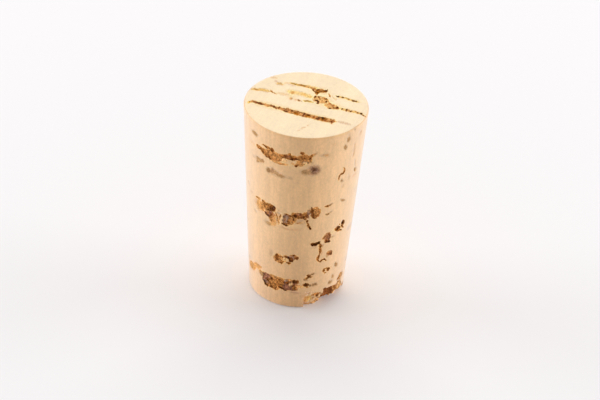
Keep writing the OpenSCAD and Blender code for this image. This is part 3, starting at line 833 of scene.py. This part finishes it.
TINT_EDGE = 0.15  # mm over which a pit's colour fades in
HALO, HALO_COVER = 0.4, 0.35  # mm and cover of the warm stain round a pit
DARKEST, PALEST = 0.01, 0.9  # limits of each part of a laid colour

PORE_LINE = Vector((-0.269, 0.780, -0.565))  # along which the pores that face it lead inwards
SLANTED_SHARE = 0.6  # of its depth that a slanted pore goes along the line
FACING = (0.3, 0.55)  # how squarely a surface faces the line, from straight pores to slanted ones

FLAT = 0.6  # least upright part of a normal on an end, and the most on the side


def is_side(places, normals):
    return np.abs(normals[:, 2]) < FLAT


def is_top(places, normals):
    return (normals[:, 2] > FLAT) & (places[:, 2] > bpy.context.scene.cork_sizes.height / MM - 1.0)


def is_foot(places, normals):
    return (normals[:, 2] < -FLAT) & (places[:, 2] < 0.4)


def flat_side(places, at):
    """Places laid flat about a bearing and height of the side: mm to the right and mm up."""
    bearing = np.degrees(np.arctan2(places[:, 0], -places[:, 1]))
    turn = (bearing - at[0] + 180.0) % 360.0 - 180.0
    return np.stack((np.radians(turn) * side_radius(at[1]), places[:, 2] - at[1]), axis=1)


def flat_end(places, at):
    """Places laid flat about an x and y of an end."""
    return places[:, :2] - np.array(at, dtype=float)


def path_places(path, lay_flat):
    """Places in mm of the points of a crack, on the side or on an end."""
    if lay_flat is flat_end:
        return np.array([(x, y, 0.0) for x, y in path])
    return np.array([on_side(bearing, height) for bearing, height in path])


def pit_inside(flat, pit):
    """How far inside the pit's outline each place is, in mm; negative outside."""
    angle = math.radians(pit.tilt)
    along = flat[:, 0] * math.cos(angle) + flat[:, 1] * math.sin(angle)
    across = flat[:, 1] * math.cos(angle) - flat[:, 0] * math.sin(angle)
    half_length, half_width = pit.size[0] / 2, pit.size[1] / 2
    reach = np.sqrt((along / half_length) ** 2 + (across / half_width) ** 2)
    return (1.0 - reach) * min(half_length, half_width)


def crack_inside(flat, points, width):
    """How far inside a crack along the points each place is, in mm; its two ends taper."""
    lengths = np.linalg.norm(np.diff(points, axis=0), axis=1)
    total = lengths.sum()
    best = np.full(len(flat), -np.inf)
    run = 0.0
    for start, end, length in zip(points[:-1], points[1:], lengths):
        step = (end - start) / length
        share = np.clip((flat - start) @ step, 0.0, length)
        away = np.linalg.norm(flat - start - share[:, None] * step, axis=1)
        travel = np.minimum(run + share, total - run - share)
        taper = np.clip(travel / TAPER + CRACK_TIP, 0.0, 1.0)
        best = np.maximum(best, width / 2 * taper - away)
        run += length
    return best


def mark_inside(places, mark, lay_flat, warp=0.0):
    """How far inside the mark's outline each place is, in mm, after the outline is warped."""
    if isinstance(mark, Pit):
        return pit_inside(lay_flat(places, mark.at) + warp, mark)
    first = mark.path[0]
    points = lay_flat(path_places(mark.path, lay_flat), first)
    return crack_inside(lay_flat(places, first) + warp, points, mark.width)


def deepest_inside(places, marks, lay_flat):
    """How far inside the outline of any mark each place is, in mm."""
    return np.max([mark_inside(places, mark, lay_flat) for mark in marks], axis=0)


def mark_width(mark):
    """Width of the mark at its narrower, in mm."""
    return mark.width if isinstance(mark, Crack) else min(mark.size)


def refine_round(obj, marks, lay_flat, on_part):
    """Halves the faces round the marks, on the part of obj that on_part picks: once round the
    stains and twice round the pits."""
    pits = [mark for mark in marks if abs(mark.depth) > STAIN_DEPTH]
    for margin, these in zip(REFINE_STEPS, (marks, pits)):
        centres = face_centres(obj.data)
        flags = on_part(centres, face_normals(obj.data))
        chosen = np.flatnonzero(flags)
        flags[chosen] = deepest_inside(centres[chosen], these, lay_flat) > -margin
        with editing(obj):
            select_faces(obj, flags)
            bpy.ops.mesh.subdivide(number_cuts=1)


def true_to_taper(obj):
    """Puts the side's vertices back on the true taper, after their faces were halved."""
    places = vertex_places(obj.data)
    normals = vertex_normals(obj.data)
    radius = np.hypot(places[:, 0], places[:, 1])
    true = side_radius(places[:, 2])
    plain = (np.abs(radius - true) < 0.02) & (np.abs(normals[:, 2]) < 0.3)
    places[plain, :2] *= (true[plain] / radius[plain])[:, None]
    obj.data.vertices.foreach_set("co", (places * MM).ravel())


def tint_of(name):
    """One of the cork's colours as an array."""
    return np.array(getattr(bpy.context.scene.cork_colours, name))


def sink_of(mark, inside, sink, floor):
    """Depths in mm after the mark is sunk, or filled in, over the depths so far."""
    edge = np.clip(inside / EDGE, 0.0, 1.0)
    if mark.depth < 0:
        return sink * (1.0 - edge * FILL)
    bowl = np.clip(inside / (0.5 * mark_width(mark)), 0.0, 1.0) ** 0.5
    depth = mark.depth * (SHELF + (1.0 - SHELF) * bowl) * (1.0 + FLOOR_WAVE * floor)
    return np.maximum(sink, depth * edge)


def cover_of(mark, inside):
    """How far the mark's colour covers each place: a crisp pit or a soft stain."""
    if abs(mark.depth) > STAIN_DEPTH:
        share = np.clip(inside / TINT_EDGE + 0.75, 0.0, 1.0)
    else:
        share = np.clip(inside / max(0.25, 0.35 * mark_width(mark)) + 0.45, 0.0, 1.0)
    return share * mark.strength


def carve(obj, marks, lay_flat, on_part, seed):
    """Sinks the marks into obj and lays their colours on it."""
    places = vertex_places(obj.data)
    chosen = np.flatnonzero(on_part(places, vertex_normals(obj.data)))
    chosen = chosen[deepest_inside(places[chosen], marks, lay_flat) > -REFINE_STEPS[-1]]
    near = places[chosen]
    warp = sum(reach * np.stack((bumpy(near, cell, seed + 1), bumpy(near, cell, seed + 2)), axis=1)
               for cell, reach in WANDER)
    floor = bumpy(near, FLOOR_LUMP, seed + 3)
    crumb = crumbly(near, CRUMB, seed + 4)
    grit = bumpy(near, GRIT, seed + 5)
    patch = bumpy(near, PATCH, seed + 6)

    reach = deepest_inside(near, [mark for mark in marks if mark.depth > STAIN_DEPTH], lay_flat)
    cover = np.clip(1.0 + reach / HALO, 0.0, 1.0) ** 2 * HALO_COVER
    colour = tint_of("gold") * cover[:, None]
    sink = np.zeros(len(near))
    for mark in marks:
        inside = mark_inside(near, mark, lay_flat, warp)
        sink = sink_of(mark, inside, sink, floor)
        share = cover_of(mark, inside)
        colour = colour * (1.0 - share[:, None]) + tint_of(mark.tint) * share[:, None]
        cover = np.maximum(cover, share)

    rough = np.clip(sink / ROUGH_FROM, 0.0, 1.0)
    sink = np.clip(sink - rough * (CRUMB_HEIGHT * (0.5 - crumb) - GRIT_HEIGHT * grit), 0.0, None)
    # Painted shade in part: the floor is darker in the gaps between crumbs, which are also sunk deeper;
    # patch and grit are random tones of the dust.
    tone = 1.05 + rough * (0.75 * (0.5 - crumb) + 0.35 * patch + 0.2 * grit)
    colour = colour / np.maximum(cover, 1e-6)[:, None] * tone[:, None]
    sink_into(obj, chosen, sink)
    lay_tint(obj.data, chosen, colour, cover)


def sink_into(obj, indices, depths):
    """Sinks vertices by depths in mm: along the pores' line if they face it, or else straight in."""
    facing = -vertex_normals(obj.data)[indices] @ np.array(PORE_LINE)
    start, full = FACING
    slanted = np.clip((facing - start) / (full - start), 0.0, 1.0)
    displace_by(obj, indices, depths * (1.0 - slanted), (("NORMAL", -1.0),))
    displace_by(obj, indices, depths * slanted * SLANTED_SHARE, tuple(zip("XYZ", PORE_LINE)))


def displace_by(obj, indices, travel, moves):
    """Displaces vertices by their travel in mm times the part that goes in each direction."""
    deepest = bpy.context.scene.cork_sizes.deepest
    group = obj.vertex_groups.new(name=SINK_GROUP)
    for index, weight in zip(indices.tolist(), np.clip(travel * MM / deepest, 0.0, 1.0).tolist()):
        group.add([index], weight, "REPLACE")
    for direction, part in moves:
        apply_modifier(obj, "DISPLACE", direction=direction, strength=part * deepest, mid_level=0.0,
                       vertex_group=SINK_GROUP)
    obj.vertex_groups.remove(obj.vertex_groups[SINK_GROUP])


def lay_tint(mesh, indices, colour, cover):
    """Writes a colour, and how far it covers the plain one, on vertices of the mesh."""
    if TINT in mesh.attributes:
        layer = mesh.attributes[TINT]
        values = read_numbers(layer.data, "color", 4)
    else:
        layer = mesh.attributes.new(TINT, "FLOAT_COLOR", "POINT")
        values = np.zeros((len(mesh.vertices), 4), dtype=np.float32)
    values[indices, :3] = np.clip(colour, DARKEST, PALEST)
    values[indices, 3] = cover
    layer.data.foreach_set("color", values.ravel())


# ---------------------------------------------------------------------------------------------
# The pieces
# ---------------------------------------------------------------------------------------------

LEVEL = 1e-6  # m, heights closer than this are the same
SMOOTH_UNDER = math.radians(40)  # angle between faces under which their edge is smooth
END_SKIN, END_FADE = 0.012, 0.01  # mm under an end that still counts as it, and its fading out


def make_blank(sizes):
    """The stopper before its pores: a frustum with rounded rims and an even net of faces."""
    deselect_all()
    bpy.ops.mesh.primitive_cone_add(vertices=sizes.facets, radius1=sizes.foot_radius,
                                    radius2=sizes.top_radius, depth=sizes.height,
                                    end_fill_type="NGON", location=(0, 0, sizes.height / 2))
    blank = bpy.context.object
    blank.name = PIECE
    blank.data.name = PIECE
    bpy.ops.object.transform_apply(location=True, rotation=True, scale=True)
    with editing(blank, "EDGE"):
        select_edges(blank, lambda edge: rise(edge) < LEVEL)
        bpy.ops.mesh.bevel(offset=sizes.rim_radius, segments=3, profile=0.5)
        bpy.ops.mesh.select_all(action="DESELECT")
        select_edges(blank, lambda edge: rise(edge) > sizes.height / 2)
        bpy.ops.mesh.subdivide(number_cuts=sizes.rows - 1)
    with editing(blank, "FACE"):
        mesh = bmesh.from_edit_mesh(blank.data)
        for face in mesh.faces:
            face.select_set(len(face.verts) > 4)
        bmesh.update_edit_mesh(blank.data)
        bpy.ops.mesh.delete(type="ONLY_FACE")
    for end in (0.0, sizes.height):
        with editing(blank, "EDGE"):
            select_edges(blank, lambda edge: edge.is_boundary
                         and all(abs(vert.co.z - end) < LEVEL for vert in edge.verts))
            bpy.ops.mesh.fill_grid(span=sizes.facets // 4)


def break_lumps():
    """The slanted blocks and scoops that cut the break, as one object."""
    lumps = []
    for bearing, width, height, reach in BREAKS:
        deselect_all()
        slant = math.atan2(reach, height)
        outward = BLOCK / 2 * math.cos(slant) - reach / 2
        turn = math.radians(bearing)
        radius = side_radius(height / 2) + outward
        bpy.ops.mesh.primitive_cube_add(
            size=1, scale=(width * MM, BLOCK * MM, BLOCK * MM), rotation=(slant, 0, turn),
            location=Vector((radius * math.sin(turn), -radius * math.cos(turn),
                             height / 2 - BLOCK / 2 * math.sin(slant))) * MM)
        lumps.append(bpy.context.object)
    for bearing, height, radius, out in SCOOPS:
        deselect_all()
        bpy.ops.mesh.primitive_uv_sphere_add(segments=32, ring_count=16, radius=radius * MM,
                                             location=on_side(bearing, height, out) * MM)
        lumps.append(bpy.context.object)
    pick(lumps[0])
    for lump in lumps:
        lump.select_set(True)
    bpy.ops.object.join()
    bpy.ops.object.transform_apply(location=True, rotation=True, scale=True)
    return bpy.context.object


def break_edge(obj):
    """Breaks a stretch out of the foot's edge with roughened blocks and scoops."""
    lump = break_lumps()
    apply_modifier(lump, "REMESH", mode="VOXEL", voxel_size=BREAK_NET * MM)
    for kind, size, travel in BREAK_ROUGHNESS:
        texture = bpy.data.textures.new("break_" + kind.lower(), kind)
        texture.noise_scale = size * MM
        apply_modifier(lump, "DISPLACE", texture=texture, texture_coords="LOCAL",
                       strength=travel * MM, mid_level=0.4)
    apply_modifier(obj, "BOOLEAN", operation="DIFFERENCE", solver="MANIFOLD", object=lump)
    bpy.data.objects.remove(lump, do_unlink=True)
    if not obj.data.polygons:
        raise RuntimeError("The break left nothing of the stopper")


def colour_break(obj):
    """Lays the colours of broken cork on the faces of the broken edge."""
    places = vertex_places(obj.data)
    depth = side_radius(places[:, 2]) - np.hypot(places[:, 0], places[:, 1])
    height = places[:, 2]
    chosen = np.flatnonzero((height < BREAK_HEIGHT) & (height > BREAK_SKIN) & (depth > BREAK_SKIN))
    near = places[chosen]
    crumb = crumbly(near, BREAK_CRUMB, 31)
    patch = bumpy(near, BREAK_PATCH, 32)
    bearing = np.degrees(np.arctan2(near[:, 0], -near[:, 1]))
    # the hollow's walls lie further round the deeper they are
    turn = bearing - 5.0 * depth[chosen] + 2.0 * patch
    mild = np.clip(0.35 + patch * 0.7, 0.0, 1.0)[:, None]
    colour = tint_of("amber") * (1 - mild) + tint_of("pale") * mild
    for tint, tone, first, last in BREAK_ZONES:
        share = np.clip(np.minimum(turn - first, last - turn) / 2.0, 0.0, 1.0)[:, None]
        colour = colour * (1 - share) + tint_of(tint) * tone * share
    colour *= (1.16 - 0.35 * crumb)[:, None]
    # beyond the hollow the break is as pale as the cut side
    cover = np.clip((96.0 - turn) / 8.0, 0.3, 1.0)
    lay_tint(obj.data, chosen, colour, cover)


def mark_ends(obj):
    """Writes on each vertex how far it belongs to a cut end, to just short of the rounded rim."""
    places = vertex_places(obj.data)
    height = bpy.context.scene.cork_sizes.height / MM
    outwards = np.maximum(places[:, 2] - height, -places[:, 2])
    reach = (outwards + END_SKIN) / END_FADE
    layer = obj.data.attributes.new(END_FACE, "FLOAT", "POINT")
    layer.data.foreach_set("value", np.clip(reach, 0.0, 1.0).astype(np.float32))


def share_out_surfaces(obj):
    """Gives each face the material of the side, of the ends, or of the pores and the break."""
    mesh = obj.data
    cover = read_numbers(mesh.attributes[TINT].data, "color", 4)[:, 3]
    on_end = read_numbers(mesh.attributes[END_FACE].data, "value")
    corners = read_numbers(mesh.loops, "vertex_index", kind=np.int32)
    starts = read_numbers(mesh.polygons, "loop_start", kind=np.int32)
    counts = np.diff(np.append(starts, len(corners)))
    in_pore, on_end = (np.add.reduceat(values[corners], starts) / counts > 0.5
                       for values in (cover, on_end))
    slots = np.where(in_pore, 2, np.where(on_end, 1, 0))
    mesh.polygons.foreach_set("material_index", slots.astype(np.int32))


# ---------------------------------------------------------------------------------------------
# Materials
# ---------------------------------------------------------------------------------------------

class Nodes:
    """Short way to add and link the nodes of one material."""

    def __init__(self, material):
        self.tree = material.node_tree
        self.shader = self.tree.nodes["Principled BSDF"]

    def add(self, kind, settings=None, **inputs):
        """Adds a node; inputs are values or sockets, with _ for a space in their names."""
        made = self.tree.nodes.new("ShaderNode" + kind)
        for name, value in (settings or {}).items():
            setattr(made, name, value)
        for name, value in inputs.items():
            self.feed(made.inputs[name.replace("_", " ")], value)
        return made

    def feed(self, socket, value):
        """Links value to the socket, or sets it there if it is a plain value."""
        if isinstance(value, bpy.types.NodeSocket):
            self.tree.links.new(value, socket)
        else:
            socket.default_value = value

    def noise(self, where, lump, detail=2.0, rough=0.5):
        """Noise of 0 to 1 with lumps about that many mm across; lump may be an (x, y, z)."""
        lump = (lump,) * 3 if isinstance(lump, (int, float)) else lump
        scaled = self.add("Mapping", Vector=where)
        scaled.inputs["Scale"].default_value = [1.0 / (size * MM) for size in lump]
        made = self.add("TexNoise", Vector=scaled.outputs["Vector"], Scale=1.0, Detail=detail,
                        Roughness=rough)
        return made.outputs["Fac"]

    def spread(self, value, low, high, to_low=0.0, to_high=1.0):
        """Stretches value from low..high to to_low..to_high, and no further."""
        made = self.add("MapRange", {"clamp": True}, Value=value, From_Min=low, From_Max=high,
                        To_Min=to_low, To_Max=to_high)
        return made.outputs["Result"]

    def tones(self, where, lump, reach, detail=2.0, rough=0.5):
        """Noise as a tone of 1 - reach to 1 + reach."""
        return self.spread(self.noise(where, lump, detail, rough), 0.3, 0.7, 1.0 - reach, 1.0 + reach)

    def mix(self, factor, first, second, blend="MIX"):
        made = self.add("Mix", {"data_type": "RGBA", "blend_type": blend})
        live = {socket.name: socket for socket in made.inputs if socket.enabled}
        for name, value in (("Factor", factor), ("A", first), ("B", second)):
            self.feed(live[name], value)
        return next(socket for socket in made.outputs if socket.enabled)

    def maths(self, operation, first, second):
        made = self.add("Math", {"operation": operation})
        self.feed(made.inputs[0], first)
        self.feed(made.inputs[1], second)
        return made.outputs["Value"]


def opaque(colour):
    return (*colour, 1.0)


# Growth rings: (place along X in mm, tone there)
RINGS = ((-11.0, 0.98), (-8.3, 0.99), (-7.2, 0.98), (-5.8, 1.05), (-4.6, 1.04), (-3.2, 0.99), (-1.5, 1.06),
         (-0.6, 1.03), (0.4, 0.99), (1.8, 0.98), (3.2, 0.97), (4.4, 0.99), (5.6, 1.07), (6.4, 1.06),
         (7.4, 1.01), (8.6, 1.02), (9.8, 0.98), (11.0, 0.96))
RING_TONES = (0.9, 1.1)
RING_WAVE = 0.35  # mm to each side


def growth_rings(nodes, where):
    """Tone of the growth rings that stand across X, a little wavy."""
    across = nodes.add("SeparateXYZ", Vector=where).outputs["X"]
    wave = nodes.spread(nodes.noise(where, (6.0, 6.0, 9.0), 1.0), 0.3, 0.7,
                        -RING_WAVE * MM, RING_WAVE * MM)
    first, last = RINGS[0][0], RINGS[-1][0]
    share = nodes.spread(nodes.maths("ADD", across, wave), first * MM, last * MM)
    ramp = nodes.add("ValToRGB", Fac=share)
    ramp.color_ramp.interpolation = "EASE"
    stops = ramp.color_ramp.elements
    low, high = RING_TONES
    for _ in RINGS[2:]:
        stops.new(1.0)
    for stop, (place, tone) in zip(stops, RINGS):
        stop.position = (place - first) / (last - first)
        stop.color = opaque([(tone - low) / (high - low)] * 3)
    return nodes.spread(ramp.outputs["Color"], 0.0, 1.0, low, high)


# Materials of the stopper, in the order of share_out_surfaces: (name, finish)
SURFACES = (
    ("ground_side", {"Roughness": 0.55, "Specular IOR Level": 0.5, "Sheen Weight": 0.8}),
    ("cut_ends", {"Roughness": 0.7, "Specular IOR Level": 0.25, "Sheen Weight": 0.4}),
    ("open_pores", {"Roughness": 1.0, "Specular IOR Level": 0.0}),
)
END_GRAIN = 0.55  # share of the side's grain that the ends show, which are cut smoother
FOOT_SHADE = (0.92, 0.885, 0.87)  # painted shade: tone that the lower side is darkened to, towards the narrow end
FOOT_SHADE_HEIGHTS = (7.0, 16.0)  # mm, from which it fades out and where it ends
FOOT_SHADE_SHARE = 0.75
FLECK = 0.7  # tone of the dark flecks of the grain


def plain_cork(nodes, colours, where):
    """Colour of the cork between its pores."""
    end_face = nodes.add("Attribute", {"attribute_name": END_FACE}).outputs["Fac"]
    plain = nodes.mix(end_face, opaque(colours.side), opaque(colours.end))
    tone = growth_rings(nodes, where)
    for layer in (
        nodes.tones(where, (1.3, 14.0, 30.0), 0.03, 3.0),  # bands beside the rings
        nodes.tones(where, 5.0, 0.03, 3.0),  # clouds
        nodes.tones(where, (0.45, 2.5, 9.0), 0.04),  # streaks along the bark
        nodes.tones(where, (0.8, 0.8, 2.4), 0.05),  # mottles
        nodes.tones(where, (0.28, 0.28, 0.5), 0.08, 2.0, 0.6),  # grain
    ):
        tone = nodes.maths("MULTIPLY", tone, layer)
    grained = nodes.spread(end_face, 0.0, 1.0, 1.0, END_GRAIN)
    toned = nodes.mix(grained, plain, tone, "MULTIPLY")

    # painted shade: the side darkens towards the narrow end, where less light reaches it
    height = nodes.add("SeparateXYZ", Vector=where).outputs["Z"]
    start, end = FOOT_SHADE_HEIGHTS
    low = nodes.spread(height, start * MM, end * MM, FOOT_SHADE_SHARE, 0.0)
    toned = nodes.mix(low, toned, nodes.mix(1.0, toned, opaque(FOOT_SHADE), "MULTIPLY"))
    flecks = nodes.spread(nodes.noise(where, (0.9, 0.3, 0.25), 2.0), 0.64, 0.76, 0.0, 0.35)
    return nodes.mix(flecks, toned, opaque([FLECK * part for part in colours.side]))


def cork_material(name, colours, finish):
    """Cork with the laid colours in its pores, and a finish of constant shader values."""
    material = bpy.data.materials.new(name)
    material.use_nodes = True
    nodes = Nodes(material)
    where = nodes.add("TexCoord").outputs["Object"]
    tint = nodes.add("Attribute", {"attribute_name": TINT})
    dust = nodes.mix(1.0, tint.outputs["Color"], nodes.tones(where, 0.26, 0.5, 3.0, 0.6), "MULTIPLY")
    colour = nodes.mix(tint.outputs["Alpha"], plain_cork(nodes, colours, where), dust)
    nodes.feed(nodes.shader.inputs["Base Color"], colour)
    bump = nodes.add("Bump", Strength=0.35, Distance=0.03 * MM,
                     Height=nodes.noise(where, 0.25, 4.0, 0.6))
    nodes.feed(nodes.shader.inputs["Normal"], bump.outputs["Normal"])
    for socket, value in finish.items():
        nodes.shader.inputs[socket].default_value = value
    return material


def floor_material(studio):
    material = bpy.data.materials.new("pale_floor")
    material.use_nodes = True
    shader = material.node_tree.nodes["Principled BSDF"]
    shader.inputs["Base Color"].default_value = opaque(studio.floor)
    shader.inputs["Roughness"].default_value = 0.9
    shader.inputs["Specular IOR Level"].default_value = 0.1
    return material


# ---------------------------------------------------------------------------------------------
# The studio
# ---------------------------------------------------------------------------------------------

FLOOR_SIDE = 4.0  # m
SKY_COLOUR = (1.0, 0.96, 0.95)
# The key lamp hangs above and behind the stopper, and a low wing stands on each side of it.
KEY_ELEVATION, KEY_DISTANCE, KEY_SIZE = math.radians(60), 0.9, (0.9, 0.7)
WING_TURN, WING_ELEVATION = math.radians(100), math.radians(8)
WING_DISTANCE, WING_SIZE = 0.8, (0.5, 0.25)
WINGS = (("left_wing", -1, (0.96, 1.01, 1.09)), ("right_wing", 1, (0.97, 1.01, 1.04)))


def towards(bearing, elevation):
    """Unit vector from the stopper towards a bearing and elevation, in radians."""
    return Vector((math.sin(bearing) * math.cos(elevation), -math.cos(bearing) * math.cos(elevation),
                   math.sin(elevation)))


def add_lamp(name, bearing, elevation, distance, size, power, colour=(1.0, 1.0, 1.0)):
    """Adds a rectangular lamp that faces the stopper's foot from that side."""
    deselect_all()
    back = towards(bearing, elevation)
    bpy.ops.object.light_add(type="AREA", location=back * distance)
    lamp = bpy.context.object
    lamp.name = name
    lamp.rotation_euler = back.to_track_quat("Z", "Y").to_euler()
    lamp.data.shape = "RECTANGLE"
    lamp.data.size, lamp.data.size_y = size
    lamp.data.energy = power
    lamp.data.color = colour


def add_camera(studio):
    """Adds the camera, in focus all over, and makes it the scene's."""
    deselect_all()
    back = towards(studio.bearing, studio.elevation)
    right = Vector((math.cos(studio.bearing), math.sin(studio.bearing), 0))
    aim = right * studio.aim_aside + Vector((0, 0, studio.aim_height))
    bpy.ops.object.camera_add(location=aim + back * studio.distance)
    camera = bpy.context.object
    turned = back.to_track_quat("Z", "Y") @ Quaternion((0, 0, 1), studio.roll)
    camera.rotation_euler = turned.to_euler()
    camera.data.lens = studio.lens
    camera.data.sensor_width = 36.0
    camera.data.clip_start = 0.01
    bpy.context.scene.camera = camera


def set_sky(studio):
    """Even light all round the studio."""
    world = bpy.context.scene.world or bpy.data.worlds.new("studio")
    bpy.context.scene.world = world
    world.use_nodes = True
    sky = world.node_tree.nodes["Background"]
    sky.inputs["Color"].default_value = opaque(SKY_COLOUR)
    sky.inputs["Strength"].default_value = studio.sky


# ---------------------------------------------------------------------------------------------
# Operators
# ---------------------------------------------------------------------------------------------

def stopper():
    """The stopper so far, which the blank begins."""
    obj = bpy.data.objects.get(PIECE)
    if obj is None:
        raise RuntimeError("The blank comes first")
    return obj


class CORK_OT_blank(bpy.types.Operator):
    """Turn the tapered blank"""

    bl_idname = "cork.blank"
    bl_label = "Blank"

    def execute(self, context):
        make_blank(context.scene.cork_sizes)
        return {"FINISHED"}


class CORK_OT_broken_edge(bpy.types.Operator):
    """Break the stretch out of the foot's edge"""

    bl_idname = "cork.broken_edge"
    bl_label = "Broken edge"

    def execute(self, context):
        break_edge(stopper())
        colour_break(stopper())
        return {"FINISHED"}


class CORK_OT_side_pores(bpy.types.Operator):
    """Sink the pores and cracks of the side"""

    bl_idname = "cork.side_pores"
    bl_label = "Side pores"

    def execute(self, context):
        obj = stopper()
        refine_round(obj, SIDE_MARKS, flat_side, is_side)
        true_to_taper(obj)
        carve(obj, SIDE_MARKS, flat_side, is_side, 1)
        return {"FINISHED"}


class CORK_OT_end_grooves(bpy.types.Operator):
    """Sink the grooves of both ends"""

    bl_idname = "cork.end_grooves"
    bl_label = "End grooves"

    def execute(self, context):
        obj = stopper()
        for marks, on_part, seed in ((TOP_MARKS, is_top, 11), (FOOT_MARKS, is_foot, 21)):
            refine_round(obj, marks, flat_end, on_part)
            carve(obj, marks, flat_end, on_part, seed)
        return {"FINISHED"}


class CORK_OT_finish(bpy.types.Operator):
    """Give the stopper its cork and stand it for the CAD solid"""

    bl_idname = "cork.finish"
    bl_label = "Finish"

    def execute(self, context):
        obj = stopper()
        mark_ends(obj)
        obj.data.materials.clear()
        for name, finish in SURFACES:
            obj.data.materials.append(cork_material(name, context.scene.cork_colours, finish))
        share_out_surfaces(obj)
        pick(obj)
        bpy.ops.object.shade_smooth_by_angle(angle=SMOOTH_UNDER)
        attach(obj, "root")
        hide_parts("stopper")
        return {"FINISHED"}


class CORK_OT_stage(bpy.types.Operator):
    """Set up the floor, the lamps and the camera"""

    bl_idname = "cork.stage"
    bl_label = "Studio"

    def execute(self, context):
        studio = context.scene.cork_studio
        deselect_all()
        bpy.ops.mesh.primitive_plane_add(size=FLOOR_SIDE)
        floor = context.object
        floor.name = "floor"
        floor.data.materials.append(floor_material(studio))
        add_lamp("key", studio.bearing + math.pi, KEY_ELEVATION, KEY_DISTANCE, KEY_SIZE, studio.key)
        for name, side, colour in WINGS:
            add_lamp(name, studio.bearing + side * WING_TURN, WING_ELEVATION, WING_DISTANCE, WING_SIZE,
                     studio.wing, colour)
        set_sky(studio)
        add_camera(studio)
        context.scene.view_settings.view_transform = "Standard"
        return {"FINISHED"}


class CORK_PT_sidebar(bpy.types.Panel):
    """The steps of the stopper and its studio"""

    bl_idname = "CORK_PT_sidebar"
    bl_label = "Cork stopper"
    bl_space_type = "VIEW_3D"
    bl_region_type = "UI"
    bl_category = "Cork"

    def draw(self, context):
        for step in STEPS:
            self.layout.operator(step.bl_idname)


STEPS = (CORK_OT_blank, CORK_OT_broken_edge, CORK_OT_side_pores, CORK_OT_end_grooves,
         CORK_OT_finish, CORK_OT_stage)
GROUPS = {"cork_sizes": StopperSizes, "cork_colours": CorkColours, "cork_studio": StudioSettings}
CLASSES = (*GROUPS.values(), *STEPS, CORK_PT_sidebar)


def register():
    for cls in CLASSES:
        bpy.utils.register_class(cls)
    for name, group in GROUPS.items():
        setattr(bpy.types.Scene, name, PointerProperty(type=group))


def unregister():
    for name in GROUPS:
        delattr(bpy.types.Scene, name)
    for cls in reversed(CLASSES):
        bpy.utils.unregister_class(cls)


def main():
    register()
    for step in STEPS:
        group, name = step.bl_idname.split(".")
        getattr(getattr(bpy.ops, group), name)()


if __name__ == "__main__":
    main()
